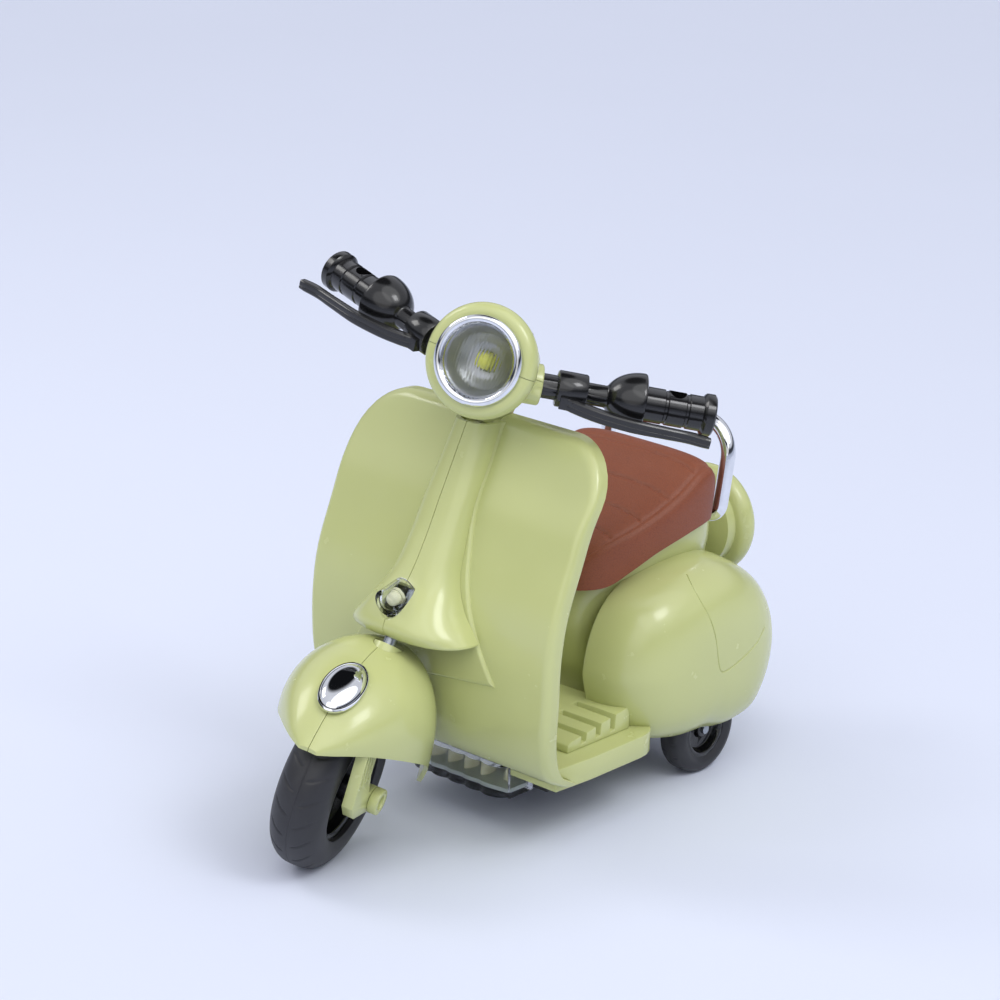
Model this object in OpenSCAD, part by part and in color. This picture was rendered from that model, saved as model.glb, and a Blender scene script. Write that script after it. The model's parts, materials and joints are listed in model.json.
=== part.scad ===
// Toy motor scooter with a pull-back spring motor, a turning fork and a rolling front wheel.
// Millimetres. +X points forward, +Y to the scooter's left, +Z up.
// The origin is on the ground, in the centre plane, straight below the rear axle.

/* [Wheels] */
// Radius of the two rear tyres
rear_wheel_r = 15; // [14.5:0.1:15.5]
// Distance between the middles of the two rear tyres
rear_track = 56; // [55:0.5:57]
// Width of a rear tyre
rear_tyre_w = 10; // [9:0.5:10.5]
// Radius of the front tyre
front_wheel_r = 27.5; // [27:0.1:27.8]
// Width of the front tyre
front_tyre_w = 17.6; // [17:0.1:18]

/* [Steering] */
// Angle of the steering axis behind the vertical
rake = 34.5; // [34:0.1:35]
// How far the handlebar is turned to the left at rest
turn = 24; // [22:0.5:24]
// Length of a handle, from the centre plane to the end of its grip
handle_length = 70.2; // [69:0.1:71]
// Angle that the handles sweep back
sweep = 24.7; // [24:0.1:25]
// Angle that the lamp looks up
lamp_pitch = 18; // [17:0.5:19]

/* [Leg shield] */
// Half the width of the shield
shield_half = 50; // [49:0.5:51]
// Height of the shield's top edge
shield_top = 132; // [131:0.5:132]
// Radius of the shield's two top corners
shield_corner = 18; // [16:0.5:20]
// Depth of the shield's turned-back rim
rim_depth = 6; // [5:0.5:6]
// Thickness of the moulded sheets
sheet = 2; // [1.8:0.1:2.2]

/* [Body] */
// Half the width of the floor pan
pan_half = 41; // [40:0.5:42]
// Height of the floor pan's top face
deck_z = 28.5; // [28:0.1:29]
// Farthest that a side cowl stands out from the centre plane
cowl_half = 45.5; // [44:0.5:46]
// Half the width of the seat at its back
seat_half = 30; // [29:0.5:31]

/* [Hidden] */

olive = "#b9bd82";
black = "#262628";
dark = "#3a3a3c";
brown = "#8c5238";
metal = "#c8ccd2";
clear = [0.85, 0.9, 0.95, 0.45];
steel = "#9ea3a8";

// Round features: full circles, and the fewer sides that blended skins take
$fn = 64;
running_gap = 0.06;
far = 400;

// Steering pivot: a point on the steering axis
pivot = [103, 0, 90];
stem_r = 2;
stem_top = 68;
neck_r = 5.4;
neck_low = 45.5;
bar_x = 94.7;
bar_z = 150.6;
bar_rise = 1.7;
lamp_x = 102.1;
lamp_z = 157.5;
front_axle_x = 136.8;
front_axle_z = 26.25;
front_plane_y = -1.5;

// Spring motor: gears of module 1, from the mainspring down to the rear axle
gear_module = 1;
spring_teeth = 24;
pinion_teeth = 10;
wheel_teeth = 20;
axle_teeth = 10;
middle_at = [9, 27];
spring_at = [17, 42];

// ---------- helpers ----------

// Index of the table row that starts the span holding t
function span(table, t, i = 0) =
    (i >= len(table) - 2 || t < table[i + 1][0]) ? i : span(table, t, i + 1);

// Slope of a smooth curve through the table at row i
function slope(table, i) =
    let (a = table[max(i - 1, 0)], b = table[min(i + 1, len(table) - 1)])
    (b[1] - a[1]) / (b[0] - a[0]);

// Smooth curve through a table of [position, value] rows
function smooth(table, t) =
    let (
        i = span(table, t),
        h = table[i + 1][0] - table[i][0],
        s = max(0, min(1, (t - table[i][0]) / h))
    )
    table[i][1] * (1 + 2 * s) * (1 - s) ^ 2 + slope(table, i) * h * s * (1 - s) ^ 2
    + table[i + 1][1] * s ^ 2 * (3 - 2 * s) + slope(table, i + 1) * h * s ^ 2 * (s - 1);

// Signed power, for superellipses
function spow(v, p) = sign(v) * abs(v) ^ p;

// Closed skin over rings of points that turn anticlockwise seen from the last ring
module skin(rings) {
    n = len(rings[0]);
    m = len(rings);
    sides = [for (i = [0:m - 2], j = [0:n - 1])
        let (k = (j + 1) % n)
        each [[i * n + j, (i + 1) * n + j, (i + 1) * n + k], [i * n + j, (i + 1) * n + k, i * n + k]]];
    bottom = [[for (j = [0:n - 1]) j]];
    top = [[for (j = [n - 1:-1:0]) (m - 1) * n + j]];
    polyhedron([for (ring = rings) each ring], concat(sides, bottom, top));
}

// Extrusion along Y of an outline drawn in X and Z, centred on the centre plane
module across(width) {
    translate([0, width / 2, 0])
        rotate([90, 0, 0])
            linear_extrude(width)
                children();
}

// Extrusion along X of an outline drawn in Y and Z, starting at x
module along(x, length) {
    translate([x, 0, 0])
        rotate([90, 0, 90])
            linear_extrude(length)
                children();
}

// Cylinder along Y from y0 to y1
module rod_y(x, z, r, y0, y1) {
    translate([x, y0, z])
        rotate([-90, 0, 0])
            cylinder(r = r, h = y1 - y0);
}

// Cylinder along X from x0 to x1
module rod_x(y, z, r, x0, x1) {
    translate([x0, y, z])
        rotate([0, 90, 0])
            cylinder(r = r, h = x1 - x0);
}

module block(low, high) {
    translate(low)
        cube(high - low);
}

// The half space on one side of the plane y = y0: side is 1 for left, -1 for right
module half(side, y0 = 0) {
    translate([0, y0 + side * far / 2, 0])
        cube([2 * far, far, 2 * far], center = true);
}

// Children drawn along +Z from the origin are stood on the steering axis
module on_axis(h) {
    translate(pivot)
        rotate([0, -rake, 0])
            translate([0, 0, h])
                children();
}

// Children drawn with the handlebar straight are turned to the rest position
module steered() {
    translate(pivot)
        rotate([0, -rake, 0])
            rotate([0, 0, turn])
                rotate([0, rake, 0])
                    translate(-pivot)
                        children();
}

// Both sides: the child and its mirror image
module both() {
    children();
    mirror([0, 1, 0])
        children();
}

// ---------- leg shield ----------

// Front face of the shield in side view: x against height
shield_curve = [[23.5, 85], [29.4, 95], [42, 101.3], [60, 102.8], [72, 102.4], [83, 100.4],
    [97.5, 94.9], [108.5, 90.5], [118.7, 84.4], [132, 77.5]];
function shield_x(z) = smooth(shield_curve, z);

// Half width of the shield at a height
function shield_w(z) =
    z > 60 ? shield_half : shield_half - 6 * ((60 - z) / 36) ^ 2;

shield_low = 23.5;
shield_levels = [for (i = [0:26]) shield_low + (shield_top - shield_low) * i / 26];

// Side view of a sheet that starts d behind the front face and is t thick
module shield_side(d, t) {
    polygon(concat(
        [for (z = shield_levels) [shield_x(z) - d, z]],
        [for (i = [26:-1:0]) [shield_x(shield_levels[i]) - d - t, shield_levels[i]]]));
}

// Front view of the shield, drawn in by an inset
module shield_front(inset) {
    w = shield_half - inset;
    r = shield_corner - inset;
    top = shield_top - inset;
    right = [for (i = [0:8]) let (z = shield_low + inset + (60 - shield_low - inset) * i / 8)
        [shield_w(z) - inset, z]];
    corner = [for (a = [0:10:90]) [w - r + r * cos(a), top - r + r * sin(a)]];
    outline = concat(right, corner);
    polygon(concat(outline, [for (i = [len(outline) - 1:-1:0]) [-outline[i][0], outline[i][1]]]));
}

// Slot that the steering stem passes down through
module stem_slot(r) {
    on_axis(4)
        cylinder(r = r, h = 60);
    on_axis(neck_low - 0.6)
        cylinder(r = neck_r + 0.5, h = 30);
}

module leg_shield() {
    color(olive)
        difference() {
            intersection() {
                across(2 * shield_half + 10)
                    shield_side(0, rim_depth);
                along(60, 60)
                    shield_front(0);
            }
            intersection() {
                across(2 * shield_half + 10)
                    shield_side(sheet, rim_depth);
                along(60, 60)
                    shield_front(2.4);
            }
            stem_slot(3.4);
        }
}

// Rider's side of the shield, let into its rim, with a ridge over the steering stem
module shield_panel() {
    color(olive)
        difference() {
            union() {
                intersection() {
                    across(2 * shield_half)
                        shield_side(sheet + 0.1, 1.8);
                    along(60, 60)
                        shield_front(2.6);
                }
                intersection() {
                    on_axis(16)
                        cylinder(r = 5.4, h = 34);
                    across(20)
                        shield_side(sheet + 1.9, 10);
                    along(50, 60)
                        shield_front(6);
                }
            }
            stem_slot(3.4);
        }
}

// Raised plate on the front face, behind the steering column cover
module shield_plate() {
    outline = [[8, 131], [8.5, 120], [10, 105], [13, 92], [16, 83], [20, 74], [25, 65], [29.5, 57.5], [0, 54]];
    left = [for (p = outline) if (p[0] > 0) [-p[0], p[1]]];
    color(olive)
        difference() {
            intersection() {
                across(70)
                    shield_side(-1.2, 1.2);
                along(60, 60)
                    polygon(concat(outline, [for (i = [len(left) - 1:-1:0]) left[i]]));
            }
            stem_slot(3.4);
            on_axis(-30)
                cylinder(r = 3.4, h = 40);
        }
}

// ---------- steering column cover ----------

// Front ridge of the cover, and its half width, against height
ridge_curve = [[69.5, 119], [73, 121.4], [78, 119], [86.5, 110.8], [97, 104.2], [110, 97.6], [131, 86.8]];
cover_curve = [[69.5, 23.5], [73, 20.5], [78, 16.2], [86.5, 11.8], [97, 10], [110, 9], [131, 7.6]];
cover_low = 69.5;
cover_top = 131;

// Half ring of the cover at a height, drawn in by an inset, from the ridge round to the shield
function cover_ring(z, inset, deep) =
    let (
        x0 = shield_x(z) + 1.3 - deep,
        h = smooth(ridge_curve, z) - inset - x0,
        w = smooth(cover_curve, z) - inset
    )
    concat(
        [[x0, 0, z]],
        [for (a = [0:15:90]) [x0 + h * spow(cos(a), 0.8), w * spow(sin(a), 0.72), z]]);

// One half of the cover as a solid: side 1 is the left
module cover_solid(inset, deep, low, high) {
    skin([for (i = [0:12]) cover_ring(low + (high - low) * i / 12, inset, deep)]);
}

module cover_half() {
    difference() {
        cover_solid(0, 0, cover_low, cover_top);
        translate([0, -0.01, 0])
            cover_solid(1.2, 0.5, cover_low - 0.4, cover_top - 1.4);
        on_axis(-40)
            cylinder(r = 3, h = 100);
        on_axis(neck_low - 0.6)
            cylinder(r = neck_r + 0.5, h = 30);
        lamp_space();
    }
}

// Recess of the horn lamp, at the ridge above the fan
horn_at = [114.7, 0, 82.2];
horn_pitch = 105;
module horn_place() {
    translate(horn_at)
        rotate([0, horn_pitch, 0])
            children();
}

module lamp_space() {
    horn_place()
        translate([0, 0, -3.2])
            cylinder(r = 4.6, h = 14);
}

module column_left() {
    color(olive)
        cover_half();
}

module column_right() {
    color(olive)
        mirror([0, 1, 0])
            cover_half();
}

// Two plastic bushes that hold the steering stem, each with its foot against the shield
module head_bearings() {
    color(dark)
        difference() {
            union() {
                intersection() {
                    on_axis(35)
                        cylinder(r = 5.2, h = 8);
                    translate([-0.1, 0, 0])
                        both()
                            cover_solid(1.4, -0.1, cover_low, cover_top);
                }
                intersection() {
                    block([100, -15, 70], [125, 15, 74]);
                    both()
                        cover_solid(1.4, -0.1, cover_low, cover_top);
                }
            }
            on_axis(-60)
                cylinder(r = stem_r + running_gap, h = 150);
        }
}

// Clear tube of the horn lamp, closed by a domed lens
module horn_lamp_tube() {
    color(clear)
        difference() {
            horn_place()
                rotate_extrude()
                    polygon([[0, 5.4], [2, 5.2], [3, 4.6], [3.4, 4.2], [3.4, -3], [4.5, -3], [4.5, 5.6],
                        [4.1, 6], [3.4, 6], [3, 5.6], [0, 6.4]]);
            on_axis(-40)
                cylinder(r = stem_r + 0.4, h = 60);
        }
}

module horn_lamp_led() {
    color("#e8e6b0")
        horn_place()
            rotate_extrude()
                polygon(concat([[0, 0.2], [2.6, 0.2], [2.6, 1.2], [2.2, 1.2], [2.2, 2.2]],
                    [for (a = [15:15:90]) [2.2 * cos(a), 2.2 + 2.2 * sin(a)]]));
}

// ---------- floor ----------

// Plan of the floor pan, drawn in by an inset
module pan_plan(inset) {
    front = 85 - inset;
    rear = 33 + inset;
    w = pan_half - inset;
    r = 12;
    nose = 40 - inset;
    right = concat(
        [[front, nose]],
        [[70, w]],
        [for (a = [90:15:180]) [rear + r + r * cos(a), w - r + r * sin(a)]]);
    polygon(concat(right, [for (i = [len(right) - 1:-1:0]) [right[i][0], -right[i][1]]]));
}

// Gap under the shield's bent-in foot
module shield_foot(gap) {
    intersection() {
        across(2 * shield_half + 10)
            shield_side(-5, rim_depth + 5 + gap);
        along(60, 60)
            shield_front(-1);
    }
}

module floor_pan() {
    color(olive)
        difference() {
            translate([0, 0, 21])
                linear_extrude(deck_z - 21)
                    pan_plan(0);
            translate([0, 0, 20])
                linear_extrude(deck_z - 21 - 1)
                    pan_plan(2);
            shield_foot(0.05);
            block([73.4, -21.1, 12], [88.2, 21.1, 23.05]);
        }
}

// Raised tread with slots open at both ends
board_rear = 43;
board_front = 73;
module footboard() {
    slots = [50, 57, 64];
    color(olive)
        difference() {
            across(68)
                polygon([[board_rear, deck_z + 0.05], [board_front, deck_z + 0.05], [board_front, 31.2],
                    [71.5, 32], [44.5, 36], [board_rear, 35.2]]);
            both()
                for (x = slots)
                    block([x, 18, deck_z + 1.5], [x + 2.4, 40, 40]);
        }
}

// ---------- rear body ----------

// Body between the cowls: front, back and half width against height
body_front = [[deck_z, 41], [36, 39], [46, 42.5], [58, 46.5], [70, 44], [80, 32], [88, 20]];
body_back = [[deck_z, -24], [46, -25], [60, -23], [74, -18], [82, -14], [88, -10]];
body_wide = [[deck_z, 19], [46, 17.5], [58, 17.5], [68, 20.5], [78, 24.5], [88, 26.5]];
body_top = 86;

// Underside of the seat in side view: z against x
seat_floor_curve = [[-8, 87.6], [4, 86.6], [14, 84.6], [25, 81.2], [34, 76.6], [42, 72.2], [52, 70.8]];
function seat_floor(x) = smooth(seat_floor_curve, x);

function body_ring(z, inset) =
    let (
        f = smooth(body_front, z) - inset,
        b = smooth(body_back, z) + inset,
        w = smooth(body_wide, z) - inset,
        cx = (f + b) / 2,
        rx = (f - b) / 2
    )
    [for (a = [0:15:345]) [cx + rx * spow(cos(a), 0.62), w * spow(sin(a), 0.7), z]];

module body_solid(inset, low, high) {
    skin([for (i = [0:10]) body_ring(low + (high - low) * i / 10, inset)]);
}

// Everything above the underside of the seat, less a gap
module above_seat_floor(gap) {
    xs = [for (i = [0:14]) -40 + 100 * i / 14];
    across(120)
        polygon(concat([for (x = xs) [x, seat_floor(x) - gap]], [[60, 200], [-40, 200]]));
}

module body_shell() {
    difference() {
        body_solid(0, deck_z + 0.05, body_top);
        body_solid(sheet, deck_z - 1, body_top + 1);
        above_seat_floor(0.05);
    }
    // Floor of the shell under the seat
    difference() {
        intersection() {
            body_solid(sheet - 0.01, deck_z + 0.05, body_top);
            difference() {
                above_seat_floor(sheet);
                above_seat_floor(0.05);
            }
        }
    }
}

module body_left() {
    color(olive)
        difference() {
            intersection() {
                body_shell();
                half(1);
            }
            rack_holes(0.05);
            screw_holes(1.05);
            spare_space();
            seam_space();
        }
}

module body_right() {
    color(olive)
        difference() {
            intersection() {
                body_shell();
                half(-1);
            }
            rack_holes(0.05);
            screw_holes(1.05);
            spare_space();
            seam_space();
        }
}

// Opening of the body over the spring motor
module seam_space() {
    block([-9, -12.2, 20], [33.5, 12.2, 60]);
}

// ---------- side cowls ----------

cowl_centre = [8.5, 45];
cowl_low = 17;
cowl_root = 20.5;

// Outline of a cowl in side view: distance from its centre against angle
cowl_curve = [[0, 41.5], [30, 39.5], [60, 34], [90, 31.4], [125, 32.6], [150, 36], [180, 39], [210, 40],
    [225, 39.5], [240, 35], [270, 28.5], [300, 31.5], [330, 38], [360, 41.5]];

// Point of a cowl: u runs from 0 at its rim to 1 at its crown, a is the angle round it
function cowl_point(u, a, inset) =
    let (
        scale = cos(90 * u) ^ 0.62,
        rise = sin(90 * u) ^ 0.8,
        r = (smooth(cowl_curve, a) - inset) * scale
    )
    [cowl_centre[0] + r * cos(a), cowl_root + (cowl_half - cowl_root - inset) * rise,
        cowl_centre[1] + r * sin(a)];

// Solid of a cowl on the left side
module cowl_solid(inset, root) {
    levels = [0, 0.1, 0.22, 0.36, 0.5, 0.64, 0.78, 0.9, 0.985];
    first = [for (a = [345:-15:0]) let (p = cowl_point(0, a, inset)) [p[0], root, p[2]]];
    skin(concat([first], [for (u = levels) if (u > 0 || root < cowl_root)
        [for (a = [345:-15:0]) cowl_point(u, a, inset)]]));
}

module cowl_shell() {
    difference() {
        cowl_solid(0, 19.5);
        cowl_solid(1.8, 12);
        block([-60, 10, 0], [60, 60, cowl_low]);
        body_solid(-0.3, deck_z - 8, 88);
        translate([0, 0, 20.9])
            linear_extrude(deck_z - 20.7)
                pan_plan(-0.2);
        rod_y(0, rear_wheel_r, rear_wheel_r + 2.5, 10, 34.5);
        block([board_rear - 0.05, 0, deck_z - 1], [60, 34.05, 36.05]);
        block([switch_at[0] - 3.1, switch_at[1] - 6.1, 10], [switch_at[0] + 3.1, switch_at[1] + 6.1, 27.1]);
    }
}

module cowl_left() {
    color(olive)
        cowl_shell();
}

module cowl_right() {
    color(olive)
        mirror([0, 1, 0])
            cowl_shell();
}

// ---------- seat, rack and spare ----------

// Top of the seat and its half width, against x
seat_top_curve = [[-5, 104], [0, 107.2], [6, 106.8], [14, 102], [24, 96.6], [34, 92], [42, 88.4], [48, 82.5], [51, 76]];
seat_wide = [[-5, 26], [0, 29], [8, 30], [20, 29], [32, 26], [42, 21.5], [48, 16], [51, 10]];

function seat_ring(x) =
    let (
        top = smooth(seat_top_curve, x),
        low = seat_floor(x),
        w = smooth(seat_wide, x) * seat_half / 30,
        mid = (top + low) / 2,
        h = (top - low) / 2
    )
    concat(
        [for (a = [0:15:180]) [x, w * spow(cos(a), 0.42), mid + h * spow(sin(a), 0.5)]],
        [[x, -w * 0.97, low], [x, w * 0.97, low]]);

module seat() {
    xs = [-5, -3, 0, 4, 9, 14, 19, 24, 29, 34, 39, 43, 46.5, 49, 51];
    color(brown)
        difference() {
            skin([for (x = xs) seat_ring(x)]);
            rack_holes(0.3);
        }
}

// Chrome loop that stands behind the seat and leans back
loop_half = 25;
loop_r = 2.5;
loop_bend = 11;
loop_lean = 9;
loop_at = [-8.6, 0, 84];
loop_height = 31.5;
module loop_frame() {
    translate(loop_at)
        rotate([0, -loop_lean, 0])
            children();
}

module rack_loop() {
    color(metal)
        loop_frame() {
            both() {
                translate([0, loop_half, 0])
                    cylinder(r = loop_r, h = loop_height - loop_bend);
                translate([0, loop_half - loop_bend, loop_height - loop_bend])
                    rotate([90, 0, 90])
                        rotate_extrude(angle = 90)
                            translate([loop_bend, 0])
                                circle(r = loop_r);
            }
            translate([0, 0, loop_height])
                rotate([90, 0, 0])
                    cylinder(r = loop_r, h = 2 * (loop_half - loop_bend), center = true);
            both()
                rod_y(0, 2, 1.6, loop_half - 6, loop_half);
        }
}

// Room for the loop's feet
module rack_holes(gap) {
    loop_frame()
        both() {
            translate([0, loop_half, -1])
                cylinder(r = loop_r + gap, h = 40);
            rod_y(0, 2, 1.6 + gap, loop_half - 6 - gap, loop_half);
        }
}

// Round dished cover of the spare wheel, on a stub behind the body
spare_z = 72.5;
spare_face = -40;
spare_r = 19;
module spare_cover() {
    color(olive)
        difference() {
            translate([spare_face, 0, spare_z])
                rotate([0, 90, 0])
                    rotate_extrude()
                        polygon(concat(
                            [[0, 2.5], [6, 2.5], [7, 0.4], [13, 0]],
                            [for (a = [-80:20:90]) [spare_r - 4 + 4 * cos(a), 4 + 4 * sin(a)]],
                            [[spare_r - 4, 12], [6, 12], [5, 19.5], [0, 19.5]]));
            body_solid(-0.05, deck_z + 0.05, body_top);
            rod_x(0, spare_z, 1.6, spare_face - 1, spare_face + 40);
        }
}

module spare_space() {
    rod_x(0, spare_z, 1.6, -60, 0);
}

module spare_bolt() {
    color(metal)
        translate([spare_face + 2.5, 0, spare_z])
            rotate([0, -90, 0]) {
                cylinder(r = 4, h = 1.6, $fn = 6);
                translate([0, 0, 1.6])
                    sphere(r = 2.2);
                translate([0, 0, -26])
                    cylinder(r = 1.5, h = 27);
            }
}

// ---------- under the floor ----------

// Clear tray of the ground lights, with a scalloped front wall
module lamp_tray() {
    color(clear)
        difference() {
            union() {
                block([73.5, -21, 12.6], [84.5, 21, 23]);
                for (y = [-14:7:14])
                    translate([80.6, y, 12.6])
                        cylinder(r = 7, h = 10.4);
            }
            block([75, -19.6, 14], [84, 19.6, 30]);
            shield_foot(0.05);
        }
}

module tray_board() {
    color("#3c6b4a")
        block([75.2, -19.4, 14.1], [83.8, 19.4, 15.3]);
}

module tray_leds() {
    color("#e8e6b0")
        for (y = [-14:7:14])
            translate([79.5, y, 15.3]) {
                cylinder(r = 1.5, h = 2);
                translate([0, 0, 2])
                    sphere(r = 1.5);
            }
}

box_front = 72;
box_rear = 35.6;
module battery_box() {
    color(black)
        difference() {
            block([box_rear, -25.5, 12.5], [box_front, 25.5, 26.4]);
            block([box_rear + 1.4, -23.8, 10], [box_front - 1.4, 23.8, 25.2]);
            block([box_rear + 0.7, -24.8, 10], [box_front - 0.7, 24.8, 14]);
        }
}

module battery_door() {
    color(black)
        difference() {
            block([box_rear + 0.8, -24.7, 12.4], [box_front - 0.8, 24.7, 13.9]);
            for (x = [46:3:61])
                block([x, -10, 12.3], [x + 1.2, 10, 12.9]);
        }
}

cell_r = 5.25;
cell_gap = 10.9;
cell_x = [for (i = [-1:1]) (box_front + box_rear) / 2 + i * cell_gap];
module batteries() {
    color("#6b7480")
        for (x = cell_x) {
            rod_y(x, 19.6, cell_r, -22, 21);
            rod_y(x, 19.6, 1.9, 20.9, 22);
        }
}

module battery_contacts() {
    color(steel)
        for (x = cell_x) {
            block([x - 4, 22.1, 16], [x + 4, 22.6, 23]);
            block([x - 4, -22.6, 16], [x + 4, -22.1, 23]);
        }
}

module circuit_board() {
    color("#3c6b4a") {
        block([-8, -14, 62], [34, 14, 63.4]);
        block([2, -6, 63.3], [12, 6, 65]);
        translate([24, 6, 63.3])
            cylinder(r = 3, h = 6);
    }
}

module speaker() {
    color(dark)
        translate([11, 0, 70.4])
            rotate_extrude()
                polygon([[0, 0], [6, 0], [6, 2.5], [13, 4.5], [13, 5.5], [11.5, 5.5], [4, 3.5], [0, 4.2]]);
}

// Slide switch under the floor, behind the battery box
switch_at = [29.5, 19.8];
module switch_case() {
    color(black)
        translate([switch_at[0], switch_at[1], 21])
            difference() {
                block([-3, -6, 0], [3, 6, 6]);
                block([-1.6, -4.6, -1], [1.6, 4.6, 3.4]);
            }
}

module switch_slider() {
    color(steel)
        translate([switch_at[0], switch_at[1] - 1.5, 21]) {
            block([-1.5, -3, 0.6], [1.5, 3, 3.3]);
            block([-1, -1, -1.6], [1, 1, 0.7]);
        }
}

// ---------- spring motor ----------

// Spur gear drawn in X and Z, with straight-sided teeth thinned for free running
module gear(at, teeth, phase, y0, y1, bore) {
    r = gear_module * teeth / 2;
    tip = r + 0.85;
    root = r - 1.2;
    step = 360 / teeth;
    translate([at[0], y1, at[1]])
        rotate([90, 0, 0])
            rotate([0, 0, phase])
                difference() {
                    linear_extrude(y1 - y0)
                        polygon([for (i = [0:teeth - 1]) each [
                            root * [cos((i - 0.30) * step), sin((i - 0.30) * step)],
                            tip * [cos((i - 0.12) * step), sin((i - 0.12) * step)],
                            tip * [cos((i + 0.12) * step), sin((i + 0.12) * step)],
                            root * [cos((i + 0.30) * step), sin((i + 0.30) * step)]]]);
                    translate([0, 0, -1])
                        cylinder(r = bore, h = y1 - y0 + 2);
                }
}

// Direction from one gear's middle to the next, in degrees
to_middle = atan2(middle_at[1] - spring_at[1], middle_at[0] - spring_at[0]);
to_axle = atan2(rear_wheel_r - middle_at[1], -middle_at[0]);

motor_low = 7.5;
module motor_case(side) {
    color("#d8d8d2")
        difference() {
            intersection() {
                across(24)
                    polygon([[-8.5, motor_low], [8, motor_low], [22, 16], [32.5, 34], [32.5, 52], [26, 58.5],
                        [8, 58.5], [-4, 40], [-8.5, 24]]);
                half(side);
            }
            intersection() {
                across(21)
                    polygon([[-7, 9], [7.5, 9], [20.8, 17], [31, 34.5], [31, 51.5], [25.4, 57],
                        [8.8, 57], [-2.7, 39.6], [-7, 23.6]]);
                half(side);
            }
            rod_y(0, rear_wheel_r, 1.5 + running_gap, -20, 20);
            rod_y(middle_at[0], middle_at[1], 1 + running_gap, -20, 20);
            rod_y(spring_at[0], spring_at[1], 1.5 + running_gap, -20, 20);
        }
}

module motor_case_left() {
    motor_case(1);
}

module motor_case_right() {
    motor_case(-1);
}

// Coiled strip of the mainspring, seen from the side as a spiral
module mainspring() {
    turns = 5;
    steps = 20 * turns;
    inner = 3.2;
    pitch = 1.5;
    thick = 0.45;
    outer = [for (i = [0:steps]) let (r = inner + thick + pitch * i / 20, a = 360 * i / 20)
        r * [cos(a), sin(a)]];
    back = [for (i = [steps:-1:0]) let (r = inner + pitch * i / 20, a = 360 * i / 20)
        r * [cos(a), sin(a)]];
    color(steel)
        translate([spring_at[0], -1.2, spring_at[1]])
            rotate([90, 0, 0])
                linear_extrude(7)
                    polygon(concat(outer, back));
}

// Arbor of the mainspring with its large gear
module spring_gear() {
    color("#e0d8c0") {
        gear(spring_at, spring_teeth, to_middle, 1, 3.5, 1);
        rod_y(spring_at[0], spring_at[1], 1.5, -11.5, 11.5);
        rod_y(spring_at[0], spring_at[1], 2.8, -9, 1.1);
    }
}

// Middle gear: a pinion that meets the spring's gear and a wheel that drives the axle
pinion_phase = to_middle + 180 + 180 / pinion_teeth;
module middle_gear() {
    color("#e0d8c0") {
        gear(middle_at, pinion_teeth, pinion_phase, 0.8, 4.2, 0.5);
        gear(middle_at, wheel_teeth, to_axle, 4.2, 7, 0.5);
        rod_y(middle_at[0], middle_at[1], 1, -11.5, 11.5);
    }
}

module axle_gear() {
    color("#e0d8c0")
        gear([0, rear_wheel_r], axle_teeth, to_axle + 180 + 180 / axle_teeth, 3.9, 8, 1.5);
}

module rear_axle() {
    color(steel)
        rod_y(0, rear_wheel_r, 1.5, -32, 32);
}

// Wheel on the rear axle, left side: a dished hub that the tyre closes over
rear_mid = rear_track / 2;
module rear_hub() {
    translate([0, rear_mid, rear_wheel_r])
        rotate([-90, 0, 0])
            rotate_extrude()
                polygon([[1.5, -4], [3.2, -4], [3.2, -1.2], [8, -1.2], [8, -4], [9.5, -4], [9.5, 4],
                    [8, 4], [7, 1.2], [3.2, 1.2], [2.8, 3], [1.5, 3.2]]);
}

module rear_hubs() {
    color(black)
        both()
            rear_hub();
}

// Tyre profile: round-shouldered tread of half width w, outer radius r, seat radius s
function tyre_profile(r, w, s, c) = concat(
    [[s, -w + 1], [s + 1.5, -w + 0.3]],
    [for (a = [-90:15:90]) [r - c + c * cos(a), (w - c) * sign(a) + c * sin(a)]],
    [[s + 1.5, w - 0.3], [s, w - 1]]);

module rear_tyres() {
    color(dark)
        both()
            translate([0, rear_mid, rear_wheel_r])
                rotate([-90, 0, 0])
                    rotate_extrude()
                        polygon(tyre_profile(rear_wheel_r, rear_tyre_w / 2, 9.5, 3.2));
}

// Screws that close the body halves, heads on the left
screw_at = [[-16, 46], [38, 58], [-13, 66]];
module case_screws() {
    color(steel)
        for (p = screw_at) {
            rod_y(p[0], p[1], 1, -9, 9);
            rod_y(p[0], p[1], 2, 9, 10.4);
        }
}

module screw_holes(r) {
    for (p = screw_at)
        rod_y(p[0], p[1], r, -40, 40);
}

// ---------- steering ----------

module stem() {
    color(steel)
        steered()
            on_axis(-45)
                cylinder(r = stem_r, h = stem_top + 45);
}

// Fork: a crown over the tyre and a leg on each side of it
leg_in = 10.8;
leg_out = 14.4;
module fork() {
    color(olive)
        steered()
            difference() {
                union() {
                    translate([0, front_plane_y, 0])
                        difference() {
                            translate([0, leg_out, 0])
                                rotate([90, 0, 0])
                                    linear_extrude(leg_out - leg_in)
                                        fork_side();
                            translate([0, leg_out - 0.9, 0])
                                for (x = [144.6, 147, 149.4])
                                    block([x, 0, 37], [x + 1.2, 5, 54]);
                        }
                    translate([0, (leg_out + front_plane_y - 7) / 2, 0])
                        across(leg_out + front_plane_y + 7)
                            polygon([[118, 53.5], [119, 49.5], [131, 53], [131, 58.4], [127, 58]]);
                    on_axis(-43)
                        cylinder(r = 4.5, h = 15.2);
                }
                on_axis(-45)
                    cylinder(r = stem_r, h = 40);
                rod_y(front_axle_x, front_axle_z, 1.5 + running_gap, -30, 30);
                translate([0, front_plane_y, 0])
                    rod_y(front_axle_x, front_axle_z, front_wheel_r + 1.2, -10.5, 10.5);
            }
}

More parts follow.
